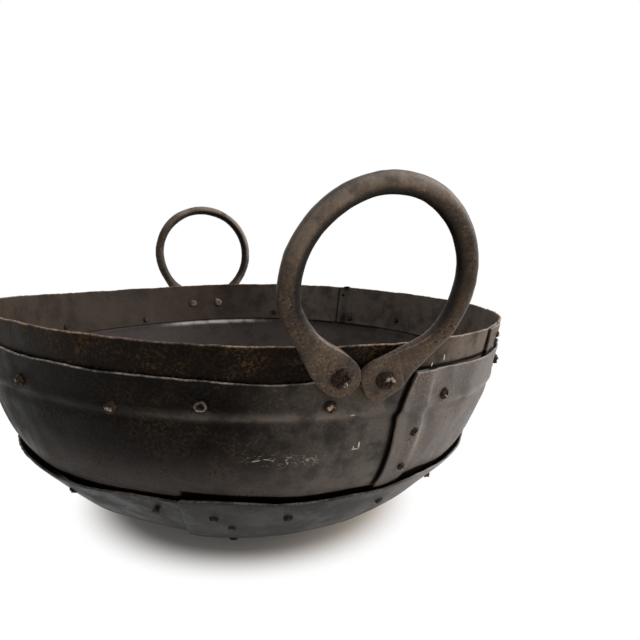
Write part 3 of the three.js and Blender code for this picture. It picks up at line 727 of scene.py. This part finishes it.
def dish_plate(name, side, seam_x, inset):
    """One bottom plate, on a map of the wall laid flat. Its outline is an arc of the top edge and the straight seam;
    rows run from the plate's middle out to that outline, and columns run round it. The top edge wanders, steps down
    at the seam and springs off the side plates. The plate inside the seam is set in by one layer and is darker all
    over, painted shade fills the seam, and painted light makes the right front paler."""
    edge_radius = float(np.interp(DISH_TOP, SECTION_DOWN, SECTION_RADIUS))
    half_chord = math.sqrt(edge_radius**2 - seam_x**2)
    corner = math.degrees(math.atan2(half_chord, seam_x))
    arc = np.linspace(-corner, corner, 300) if side > 0 else np.linspace(corner, 360 - corner, 300)
    chord = np.linspace(side * half_chord, -side * half_chord, 170)[1:-1]
    seam_azimuth, seam_down = plan_to_wall(seam_x + 0 * chord, chord)
    outline_azimuth = np.concatenate([arc + DISH_SEAM_TURN, seam_azimuth])
    outline_down = np.concatenate([np.full(arc.shape, DISH_TOP), seam_down])
    outline = wall_map(outline_azimuth, outline_down)
    middle = outline[: len(arc)].mean(0) * 0.6
    reach = np.linalg.norm(outline - middle, axis=-1)[:, None]
    inner_rows = np.linspace(0, 1, 72)[:-1] ** 0.92 * 0.985
    rows = np.concatenate([inner_rows, 1 - np.array([0.0085, 0.0045, 0.002, 0.0006, 0.0])])
    flat = middle + (outline[:, None] - middle) * rows[None, :, None]
    from_edge = reach * (1 - rows[None, :])
    azimuth = np.degrees(np.arctan2(flat[..., 1], flat[..., 0]))
    down = AXIS_DOWN - np.hypot(flat[..., 0], flat[..., 1])
    top_line = on_wall(azimuth, DISH_TOP, 0.0)
    ragged = dish_edge(azimuth) + layered(top_line, DISH_WANDER, 31)
    point = on_wall(azimuth, down, 0.0)
    turn = math.radians(-DISH_SEAM_TURN)
    seam_side = point[..., 0] * math.cos(turn) - point[..., 1] * math.sin(turn) - DISH_SEAM_OFFSET
    set_in = LAYER * smooth(seam_side, *SET_IN) if inset else 0.0
    ragged = ragged + SEAM_STEP * smooth(seam_side, -SEAM_STEP, SEAM_STEP) * inset
    down = down + ragged * np.exp(-np.maximum(down - DISH_TOP, 0) / DISH_WANDER_FADE)
    halo = 0.6 * near_rivets(azimuth, down, DISH_RIVETS)
    lift = dish_lift(down) + hammering(azimuth, down) - set_in - DISH_DIMPLE * halo
    sprung = DISH_SPRUNG + DISH_SPRUNG_WAVE[0] * unevenness(top_line, DISH_SPRUNG_WAVE[1], 33)
    sprung = sprung * (1 - CLOSE_SHARE * stripe(past_seam(azimuth, CLOSE_AT), 0, CLOSE_HALF))
    lift = lift + np.clip(sprung, 0, None) * np.exp(-np.maximum(down - DISH_TOP, 0) / DISH_SPRUNG_FADE)
    outer = on_wall(azimuth, down, lift)
    # Painted shade along the seam under the outer plate's edge; the inner plate is darker all over.
    shade_and_darkening = inset * np.maximum(bell(seam_side, *DISH_SEAM_GAP), INNER_PLATE_DARKER), 0 * halo
    lit_end = LIT_END * stripe(past_seam(azimuth, LIT_AT), 0, LIT_HALF) * smooth(-down, -0.175, -0.135)
    marks = dict(edge=worn(from_edge), halo=halo, scuff=0 * halo, sheen_and_wear=(lit_end, 0 * halo), shade_and_darkening=shade_and_darkening)
    return sheet_solid(name, outer, outward(azimuth, down), from_edge, round_plate=True, **marks)


dish_iron = iron("dish_iron", (0.0135, 0.0120, 0.0114), (0.0295, 0.0267, 0.0256), (0.055, 0.045, 0.038), 0.43,
                 inner=((0.028, 0.0225, 0.0195), (0.050, 0.041, 0.0357)), edge_tone=(0.20, 0.18, 0.17),
                 edge_wear=0.6, streak=0.06, speckle=0.5, rusting=0.5)
for name, side, seam_x, inset in (
    ("bottom_plate_outer", 1, DISH_SEAM_OFFSET, False),
    ("bottom_plate_inner", -1, DISH_SEAM_OFFSET + DISH_LAP, True),
):
    plate = dish_plate(f"{name}_sheet", side, seam_x, inset)
    plate.data.materials.append(dish_iron)
    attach(plate, "root")
    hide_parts(name)

# Ring handles
# Round bar forged into a ring, its two ends drawn together and beaten flat into round feet. Each foot is riveted
# through the side plate and the hoop, so the ring stands up and cannot swing.
FRONT_FEET = (
    dict(slope=30.0, join_at=-20.0, toe=0.0166, blunt=3.0, fold=0.0150,
         outer=((0, 0.0160), (0.009, 0.0165), (0.014, 0.0146), (0.019, 0.0115), (0.028, 0.0100), (0.042, 0.0083),
                (0.060, 0.0072)),
         inner=((0, 0.0166), (0.006, 0.0158), (0.016, 0.0145), (0.026, 0.0132), (0.042, 0.0096), (0.060, 0.0072))),
    dict(slope=43.0, join_at=-13.0, toe=0.0152, blunt=2.1, fold=None,
         outer=((0, 0.0148), (0.010, 0.0148), (0.019, 0.0128), (0.029, 0.0099), (0.041, 0.0078), (0.054, 0.0072)),
         inner=((0, 0.0142), (0.008, 0.0142), (0.019, 0.0124), (0.029, 0.0098), (0.041, 0.0078), (0.054, 0.0072))),
)
REAR_FOOT = dict(slope=42.0, join_at=-25.0, toe=0.0165, blunt=2.3, fold=None,
                 outer=((0, 0.0165), (0.010, 0.0155), (0.024, 0.0110), (0.038, 0.0076), (0.050, 0.0063)),
                 inner=((0, 0.0165), (0.010, 0.0155), (0.024, 0.0110), (0.038, 0.0076), (0.050, 0.0063)))
HANDLES = {
    "front": dict(azimuth=268.8, down=0.0218, ring=0.064, centre=0.0685, bar=0.0072, lean=15.0, spread=0.0165,
                  rise=0.0018, drawn_in=0.0019, feet=FRONT_FEET),
    "rear": dict(azimuth=90.1, down=0.0295, ring=0.0694, centre=0.0817, bar=0.0063, lean=3.0, spread=0.021,
                 rise=0.0, drawn_in=-0.0015, feet=(REAR_FOOT, REAR_FOOT)),
}
FOOT_THICKNESS = 0.0064
FOOT_GAP = 0.0006
FOOT_LEAN = 11.3
LEAN_FROM = 0.012
FOOT_BEND = (0.012, 0.038)
LEFT_HALF, ABOVE_FEET = (-0.012, 0.030), (0.015, 0.050)
FOOT_TO_RING = (0.004, 0.048)
FOOT_SQUARENESS = 0.42
FOLD_SLANT, FOLD_DEPTH, FOLD_HALF, FOLD_SUNK = 0.25, 0.0011, 0.0010, 0.0008
BAR_UNEVENNESS = ((0.00014, 0.030), (0.00005, 0.009))
# Painted light on the ring's top and outer side, and a little paleness on the feet.
TOP_SHEEN, FEET_PALER = 0.62, 0.10


def neck_line(size, foot, sign):
    """One side of the bar's centre line in its own plane: straight from the toe to the middle of the foot, then a
    quadratic Bezier curve that ends on the ring, with its bend where the foot's line crosses the ring's tangent."""
    slope, join_at = math.radians(foot["slope"]), math.radians(foot["join_at"])
    middle = np.array([size["spread"], -sign * size["rise"]])
    way = np.array([math.cos(slope), math.sin(slope)])
    spoke = np.array([math.cos(join_at), math.sin(join_at)])
    ring_way = np.array([-spoke[1], spoke[0]])
    join = np.array([0, size["centre"]]) + size["ring"] * spoke
    reach = np.cross(join - middle, ring_way) / np.cross(way, ring_way)
    bend, toe = middle + way * reach, middle - way * foot["toe"]
    t = np.linspace(0, 1, 120)[:, None]
    neck = (1 - t) ** 2 * middle + 2 * t * (1 - t) * bend + t**2 * join
    return np.concatenate([toe + (middle - toe) * t[:-1], neck]) * (sign, 1)


def handle_line(size):
    """The bar's centre line: right foot and neck, the ring from neck to neck, left neck and foot. The ring is not
    quite round: its left half is drawn in, or let out, by a few millimetres. Gives points at close steps, their
    directions, and the distances past the middle of the right and of the left foot."""
    right, left = neck_line(size, size["feet"][0], 1), neck_line(size, size["feet"][1], -1)
    first, last = math.radians(size["feet"][0]["join_at"]), math.pi - math.radians(size["feet"][1]["join_at"])
    turn = np.linspace(first, last, 400)[1:-1]
    ring = np.stack([size["ring"] * np.cos(turn), size["centre"] + size["ring"] * np.sin(turn)], -1)
    line = np.concatenate([right, ring, left[::-1]])
    x, height = line.T
    on_left = smooth(-x, *LEFT_HALF) * smooth(height, *ABOVE_FEET)
    line = np.stack([x + size["drawn_in"] * on_left, height], -1)
    along = np.concatenate([[0], np.cumsum(np.linalg.norm(np.diff(line, axis=0), axis=-1))])
    length = along[-1]
    toes = [foot["toe"] for foot in size["feet"]]
    close = [toe * np.sin(np.linspace(0, 1, 26)[:-1] * np.pi / 2) ** 2 for toe in toes]
    marks = np.concatenate([close[0], np.linspace(toes[0], length - toes[1], 440), length - close[1][::-1]])
    point = np.stack([np.interp(marks, along, line[:, k]) for k in (0, 1)], -1)
    ahead = np.stack([np.interp(np.minimum(marks + 0.002, length), along, line[:, k]) for k in (0, 1)], -1)
    behind = np.stack([np.interp(np.maximum(marks - 0.002, 0), along, line[:, k]) for k in (0, 1)], -1)
    way = (ahead - behind) / np.linalg.norm(ahead - behind, axis=-1, keepdims=True)
    return point, way, marks - toes[0], length - toes[1] - marks


def foot_width(past, foot, edge):
    """Half width of a foot and its neck on one side of the centre line. Behind the middle it is a blunt oval, whose
    width is one less the share of the toe to a power, to the inverse of that power. Ahead of it, it follows the
    forging, eased over a few millimetres."""
    distance, width = zip(*foot[edge])
    fine = np.linspace(-0.01, 0.08, 361)
    eased = np.convolve(np.pad(np.interp(fine, distance, width), 12, "edge"), np.ones(25) / 25, "valid")
    share = np.clip(-past / foot["toe"], 0, 1) ** foot["blunt"]
    return np.interp(past, fine, eased) * (1 - share) ** (1 / foot["blunt"])


def handle_bar(name, size):
    """The bar as a closed skin: at each step of the centre line a rounded section, square-cornered on the flat feet
    and round on the ring, whose half widths and half thickness follow the forging. The right foot of the front
    handle has a fold across it, where the flat was bent up into the neck. The feet are bent to the wall, and the ring
    leans out above them. Painted highlights run along the neck's corners, painted light pales the ring's top and
    outer side, the feet are a little paler, and painted shade darkens the ring's inner side and its outermost edge."""
    point, way, past_right, past_left = handle_line(size)
    on_right = (past_right < past_left)[:, None]
    past = np.minimum(past_right, past_left)
    right, left = size["feet"]
    wrap = np.linspace(0, 2 * np.pi, 49)[:-1]
    cosine, sine = np.cos(wrap)[None, :], np.sin(wrap)[None, :]
    widths = [np.where(on_right[:, 0], foot_width(past, right, edge), foot_width(past, left, edge))[:, None]
              for edge in ("inner", "outer")]
    share = smooth(past, *FOOT_TO_RING)[:, None]
    squareness = FOOT_SQUARENESS + (1 - FOOT_SQUARENESS) * share
    corner_x = np.sign(cosine) * np.abs(cosine) ** squareness
    corner_z = np.sign(sine) * np.abs(sine) ** squareness
    width = np.where(corner_x > 0, widths[0], widths[1]) * corner_x
    toe_share = np.clip(np.minimum(*widths) / 0.006, 0, 1)
    half = FOOT_THICKNESS / 2 + (size["bar"] - FOOT_THICKNESS / 2) * share
    x = point[:, :1] - way[:, 1:] * width
    height = point[:, 1:] + way[:, :1] * width
    stood = half + half * corner_z * toe_share**0.35
    for foot, here in ((right, on_right), (left, ~on_right)):
        if foot["fold"]:
            from_fold = past[:, None] - foot["fold"] - FOLD_SLANT * width
            face = np.clip(corner_z, 0, 1) * here
            sunk = FOLD_SUNK * smooth(from_fold, -0.001, 0.002) * (1 - smooth(from_fold, 0.004, 0.030))
            stood = stood - face * (FOLD_DEPTH * bell(from_fold, 0, FOLD_HALF) + sunk)
    stand = side_lift(size["azimuth"], size["down"]) + FOOT_GAP
    base = on_wall(size["azimuth"], size["down"], stand)
    out = np.array([math.cos(math.radians(size["azimuth"])), math.sin(math.radians(size["azimuth"])), 0.0])
    across = np.array([-out[1], out[0], 0.0])
    lean, tip = math.radians(FOOT_LEAN), math.radians(size["lean"] - FOOT_LEAN)
    up = np.array([0, 0, 1.0]) * math.cos(lean) + out * math.sin(lean)
    off = out * math.cos(lean) - np.array([0, 0, 1.0]) * math.sin(lean)
    curl = math.hypot(base[0], base[1])
    bend = 1 - smooth(height, *FOOT_BEND)
    bent_x = (curl + stood) * np.sin(x / curl)
    bent_stood = (curl + stood) * np.cos(x / curl) - curl
    x, stood = x + (bent_x - x) * bend, stood + (bent_stood - stood) * bend
    tipped = np.maximum(height - LEAN_FROM, 0)
    height, stood = height - tipped * (1 - math.cos(tip)), stood + tipped * math.sin(tip)
    points = base + x[..., None] * across + height[..., None] * up + stood[..., None] * off
    skin_way = np.gradient(points, axis=0), np.roll(points, -1, 1) - np.roll(points, 1, 1)
    normal = np.cross(*skin_way)
    normal /= np.linalg.norm(normal, axis=-1, keepdims=True) + 1e-12
    normal *= np.sign(np.einsum("ijk,ijk->ij", normal, points - points.mean(1, keepdims=True)))[..., None]
    rough = layered(points, BAR_UNEVENNESS, 41)
    points = points + normal * (rough * (0.5 + 0.5 * share))[..., None]
    rings, sides = points.shape[:2]
    index = np.arange(rings * sides).reshape(rings, sides)
    index = np.hstack([index, index[:, :1]])
    near = np.arange(sides // 2 - 1)
    caps = [np.stack([loop[near], loop[near + 1], loop[sides - 2 - near], loop[sides - 1 - near]], -1)
            for loop in (index[0, :-1], index[-1, :-1])]
    caps[1] = caps[1][:, ::-1]
    on_neck = smooth(past, 0.002, 0.012) * (1 - smooth(past, 0.036, 0.060))
    # Painted highlights along the neck's corners on its front face.
    corner = bell(np.abs(cosine), 0.88, 0.05) * (sine > 0)
    edge = corner * (on_right | (cosine > 0)) * on_neck[:, None]
    on_ring = smooth(past, 0.03, 0.07)[:, None]
    # Painted shade on the ring's inner side and its outermost edge.
    turned = cosine - 5.5 * x
    shade_and_darkening = on_ring * (0.9 * smooth(turned, 0.10, 0.75) + 0.5 * smooth(-cosine, 0.80, 1.0))
    # Painted light on the ring's top and outer side, and a little paleness on the feet.
    top_sheen_and_feet = TOP_SHEEN * smooth(height - 0.4 * x, 0.080, 0.140) * smooth(-cosine, -0.6, 0.2)
    top_sheen_and_feet = top_sheen_and_feet + FEET_PALER * (1 - on_ring)
    halo = 0.3 + 0.5 * bell(past[:, None], 0, 0.011) * bell(width, 0, 0.011) * (sine > 0)
    none = np.zeros(rings * sides)
    marks = dict(edge=edge.ravel(), inside=none, halo=halo.ravel(), scuff=none, sheen_and_wear=top_sheen_and_feet.ravel(),
                 shade_and_darkening=shade_and_darkening.ravel())
    return solid(name, points.reshape(-1, 3), np.concatenate([grid_faces(index), *caps]), **marks)


handle_iron = iron("handle_iron", (0.030, 0.0232, 0.0180), (0.078, 0.0600, 0.0465), (0.105, 0.064, 0.041), 0.42,
                   ior=1.20, edge_tone=(0.29, 0.222, 0.175), sheen_tone=(0.29, 0.240, 0.200), edge_wear=0.9,
                   rusting=1.1)
for side, size in HANDLES.items():
    bar = handle_bar(f"{side}_handle_bar", size)
    bar.data.materials.append(handle_iron)
    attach(bar, "root")
    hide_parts(f"{side}_handle")

# Rivets
# Iron rivets driven hot through each lap. The heads outside are worn, off-centre domes, and the tails inside were
# hammered flat. No two are alike.
BAND_HEAD, SEAM_HEAD, HOOP_SEAM_HEAD, HANDLE_HEAD = 0.0048, 0.0036, 0.0032, 0.0072
LOW_RISE, RISE, HANDLE_RISE = 0.50, 0.66, 0.80
HOLLOW_RIVET, HOLLOW = "band_rivet_02", 0.55
DOME = np.array([(0.0, 1.0), (0.22, 0.99), (0.45, 0.93), (0.66, 0.80), (0.82, 0.60), (0.93, 0.36), (1.0, 0.12)])
DOME_UNDER = np.array([(0.99, -0.06), (0.6, -0.08)])
TAIL = np.array([(0.6, 0.0002), (1.0, 0.0), (0.98, -0.0009), (0.8, -0.0016), (0.4, -0.0019), (0.0, -0.0020)])
TAIL_SHARE = 0.82
OUT_OF_ROUND, OFF_CENTRE, OFF_LEVEL_HEAD = (0.07, 0.05), 0.32, 0.12
LUMPS = ((0.11, 0.0052), (0.09, 0.0024), (0.04, 0.0012))
TAIL_GLINT = 0.5


def side_face(azimuth, down):
    """Lift of the side plates' outer face, with whichever lap stands highest there, and the hammering."""
    steps = [np.where(past_seam(azimuth, s) > 0, lap_step(past_seam(azimuth, s), SIDE_LAP), 0) for s in SIDE_SEAMS]
    return side_lift(azimuth, down) + np.maximum.reduce(steps) + hammering(azimuth, down)


def rivet(name, azimuth, down, outer, inner, head, seed, rise, hollow=0.0):
    """A head and a tail on one shank, as a profile turned about the wall's normal: a dome as high as rise says, in
    head radii, the shank, and a tail hammered flat. The radius and the peak of the head wander with the angle, so
    that it is a worn lump and not a dome. A hollow head is sunk in the middle, as if set with a tube."""
    draw = np.random.default_rng(seed)
    turn = np.linspace(0, 2 * np.pi, 57)[:-1][:, None]
    wobble = 1 + OUT_OF_ROUND[0] * np.cos(2 * turn + draw.uniform(0, 6.28))
    wobble = wobble + OUT_OF_ROUND[1] * np.cos(3 * turn + draw.uniform(0, 6.28))
    low = inner - outer - 0.0006
    profile = np.concatenate([DOME * (1, rise), DOME_UNDER]) * head
    profile[:, 1] -= hollow * head * bell(profile[:, 0] / head, 0, 0.45)
    profile = np.concatenate([profile, TAIL * (head * TAIL_SHARE, 1) + (0, low)])
    along = np.concatenate([[0], np.cumsum(np.hypot(*np.diff(profile, axis=0).T))])
    steps = np.unique(np.concatenate([along, np.linspace(0, along[-1], 42)]))
    profile = np.stack([np.interp(steps, along, profile[:, k]) for k in (0, 1)], -1)
    reach, high = profile[:, 0][None, :], profile[:, 1][None, :]
    lean = draw.uniform(-OFF_CENTRE, OFF_CENTRE, 2)
    x = reach * wobble * np.cos(turn) + np.maximum(high, 0) * lean[0]
    y = reach * wobble * np.sin(turn) + np.maximum(high, 0) * lean[1]
    z = high * (1 + OFF_LEVEL_HEAD * np.cos(turn + draw.uniform(0, 6.28)) * (reach / head)) + 0 * turn
    points = np.stack([x, y, z], -1)
    lumps = layered(points + seed, LUMPS, seed)
    points[:, :, 2] += np.where(high > 0, head, 0) * lumps * (1 - 0.6 * (reach / head) ** 2)
    # Painted glints: on the head's highest points, on the handle rivets' tails, and round the rim of a hollow head.
    glints = smooth(points[:, :, 2] / head / rise, 0.85, 1.25)
    glints = glints + TAIL_GLINT * (high < low - 0.001) * (head == HANDLE_HEAD)
    if hollow:
        glints = bell(reach / head, 0.72, 0.16) + 0 * turn
    normal = outward(azimuth, down)
    side_way = np.array([-math.sin(math.radians(azimuth)), math.cos(math.radians(azimuth)), 0.0])
    up_way = np.cross(normal, side_way)
    base = on_wall(azimuth, down, outer)
    points = base + points[..., :1] * side_way + points[..., 1:2] * up_way + points[..., 2:] * normal
    columns, rows = points.shape[:2]
    index = np.arange(columns * rows).reshape(columns, rows)
    index[:, 0], index[:, -1] = index[0, 0], index[0, -1]
    index = np.vstack([index, index[:1]])
    none = np.zeros(columns * rows)
    marks = dict(edge=np.clip(glints, 0, 1).ravel(), inside=none, halo=none + 0.4, scuff=none, sheen_and_wear=none, shade_and_darkening=none)
    return solid(name, points.reshape(-1, 3), grid_faces(index), **marks)


# Its pale edge tone is the colour of the painted glints.
rivet_iron = iron("rivet_iron", (0.012, 0.0085, 0.0066), (0.034, 0.0250, 0.0195), (0.085, 0.049, 0.032), 0.46,
                  edge_tone=(0.52, 0.43, 0.37), edge_wear=0.95)
HOOP_SEAM_RIVETS = ((307.5, 0.010), (307.5, 0.017), (41.0, 0.012), (176.0, 0.012))
DISH_SEAM_RIVETS, DISH_SEAM_RIVET_INSET = (-0.214, -0.172, -0.128, 0.140, 0.192), 0.038
HEAD_SUNK = 0.0003
rivets = []
for index, (azimuth, down) in enumerate(BAND_RIVETS):
    inner = hoop_lift(azimuth, down) + hammering(azimuth, down) - SHEET
    rivets.append((f"band_rivet_{index + 1:02d}", azimuth, down, side_face(azimuth, down), inner, BAND_HEAD))
for index, (azimuth, down) in enumerate(DISH_RIVETS):
    true = hammering(azimuth, down)
    inner = side_lift(azimuth, down) + true - SHEET
    rivets.append((f"dish_rivet_{index + 1:02d}", azimuth, down, dish_lift(down) + true, inner, SEAM_HEAD))
for index, (azimuth, down) in enumerate(SEAM_RIVETS):
    inner = side_lift(azimuth, down) + hammering(azimuth, down) - SHEET
    rivets.append((f"side_seam_rivet_{index + 1:02d}", azimuth, down, side_face(azimuth, down), inner, SEAM_HEAD))
for index, (azimuth, down) in enumerate(HOOP_SEAM_RIVETS):
    base = hoop_lift(azimuth, down) + hammering(azimuth, down)
    rivets.append((f"hoop_seam_rivet_{index + 1:02d}", azimuth, down, base + LAYER, base - SHEET, HOOP_SEAM_HEAD))
for index, place in enumerate(DISH_SEAM_RIVETS):
    azimuth, down = plan_to_wall(DISH_SEAM_OFFSET + DISH_SEAM_RIVET_INSET, place)
    true = hammering(azimuth, down)
    outer = dish_lift(down) + true
    inner = side_lift(azimuth, down) + true - SHEET if down < SIDE_BOTTOM else outer - LAYER - SHEET
    rivets.append((f"dish_seam_rivet_{index + 1:02d}", azimuth, down, outer, inner, SEAM_HEAD))
for side, size in HANDLES.items():
    for word, sign in (("left", -1), ("right", 1)):
        azimuth = size["azimuth"] + sign * math.degrees(size["spread"] / RIM_RADIUS)
        down = size["down"] + sign * size["rise"]
        outer = side_lift(azimuth, down) + FOOT_THICKNESS + FOOT_GAP - HEAD_SUNK
        inner = hoop_lift(azimuth, down) + hammering(azimuth, down) - SHEET
        rivets.append((f"{side}_handle_{word}_rivet", azimuth, down, outer, inner, HANDLE_HEAD))
for seed, (name, azimuth, down, outer, inner, head) in enumerate(rivets):
    hollow = HOLLOW if name == HOLLOW_RIVET else 0.0
    rise = LOW_RISE if name.startswith("dish") else HANDLE_RISE if head == HANDLE_HEAD else RISE
    place = (float(azimuth), float(down), float(outer), float(inner))
    piece = rivet(f"{name}_iron", *place, head, seed + 100, rise, hollow)
    piece.data.materials.append(dish_iron if name.startswith("dish") else rivet_iron)
    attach(piece, "root")
    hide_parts(name)

# Floor and light
# A white floor that keeps the bowl's soft shadow. The light is soft and comes from the right, from behind and from
# above, with the dim side of the room at the front left, as in the photograph.
FLOOR_HALF = 6
# The floor's warm tone is painted warm light, bounced off the brown bowl into its shadow.
FLOOR_TONE = (0.61, 0.520, 0.425, 1)
SHADOW_SHOWS, GLOW = (0.145, 0.200), (0.05, 1.0)
corners = [(x * FLOOR_HALF, y * FLOOR_HALF, 0) for x, y in ((-1, -1), (1, -1), (1, 1), (-1, 1))]
floor_mesh = bpy.data.meshes.new("floor")
floor_mesh.from_pydata(corners, [], [(0, 1, 2, 3)])
floor = bpy.data.objects.new("floor", floor_mesh)
bpy.context.scene.collection.objects.link(floor)
paint = bpy.data.materials.new("floor_white")
graph = Graph(paint)
graph.nodes.clear()
seen = graph.add("LightPath")
either = graph.combined(seen["Is Camera Ray"], seen["Is Glossy Ray"], "MAXIMUM")
distance = graph.vector(graph.add("TexCoord")["Object"], "LENGTH")["Value"]
glows = graph.combined(graph.ranged(distance, *SHADOW_SHOWS, *GLOW), either)
diffuse = graph.add("BsdfDiffuse", {"Color": FLOOR_TONE})[0]
mix = graph.add("MixShader", {0: glows, 1: diffuse, 2: graph.add("Emission")[0]})
graph.add("OutputMaterial", {"Surface": mix[0]})
floor_mesh.materials.append(paint)


def lamp(name, place, aim, size, power):
    """A square soft lamp at a place, turned to an aim point."""
    light = bpy.data.lights.new(name, "AREA")
    light.shape = "RECTANGLE"
    light.size, light.size_y = size
    light.energy = power
    holder = bpy.data.objects.new(name, light)
    holder.location = place
    holder.rotation_euler = (Vector(aim) - Vector(place)).to_track_quat("-Z", "Y").to_euler()
    bpy.context.scene.collection.objects.link(holder)


lamp("key", place=(1.55, -0.55, 1.05), aim=(0, 0, 0.12), size=(1.2, 1.2), power=30)

world = bpy.data.worlds.new("studio")
bpy.context.scene.world = world
graph = Graph(world)
graph.nodes.clear()
way_out = graph.add("TexCoord")["Generated"]


def bright_side(direction, low, high, radiance):
    """A soft patch of the room's light round one direction, fading smoothly away from it."""
    toward = graph.vector(way_out, "DOT_PRODUCT", Vector(direction).normalized())["Value"]
    return graph.ranged(toward, low, high, 0.0, radiance)


ROOM_GLOW = 0.04
WHITE = (1, 1, 1, 1)
overhead = bright_side((0.0, 0.18, 1.0), low=0.10, high=0.85, radiance=0.95)
from_right = bright_side((0.90, -0.25, 0.30), low=0.30, high=0.92, radiance=1.1)
strength = graph.combined(graph.combined(overhead, from_right, "ADD"), ROOM_GLOW, "ADD")
seen = graph.add("LightPath")
straight = graph.combined(seen["Is Camera Ray"], seen["Is Glossy Ray"], "ADD")
plain_white = graph.combined(straight, seen["Is Transmission Ray"], "ADD")
room = graph.add("Background", {"Color": WHITE, "Strength": strength})[0]
mix = graph.add("MixShader", {0: plain_white, 1: room, 2: graph.add("Background", {"Color": WHITE})[0]})
graph.add("OutputWorld", {"Surface": mix[0]})

# Camera
# The photograph was taken from low at the front left, tilted slightly down and slightly off level. The place is
# given from the rim's centre, before the turn round the bowl.
LENS = 29.67
FROM_RIM = Vector((0.0774, -0.6120, 0.0622))
PHOTO_TURN = math.radians(-23.7)
TILT_DOWN = 0.1370
OFF_LEVEL = -0.0333
stance = Matrix.Rotation(PHOTO_TURN, 4, "Z") @ Matrix.Rotation(OFF_LEVEL, 4, "Y")
camera_data = bpy.data.cameras.new("camera")
camera_data.lens = LENS
camera_data.sensor_width = 36
camera_data.clip_start = 0.01
camera = bpy.data.objects.new("camera", camera_data)
camera.matrix_world = (
    Matrix.Translation(Vector((0, 0, RIM_HEIGHT))) @ stance @ Matrix.Translation(FROM_RIM)
    @ Matrix.Rotation(math.pi / 2 - TILT_DOWN, 4, "X")
)
bpy.context.scene.collection.objects.link(camera)
bpy.context.scene.camera = camera
bpy.context.scene.view_settings.view_transform = "Standard"
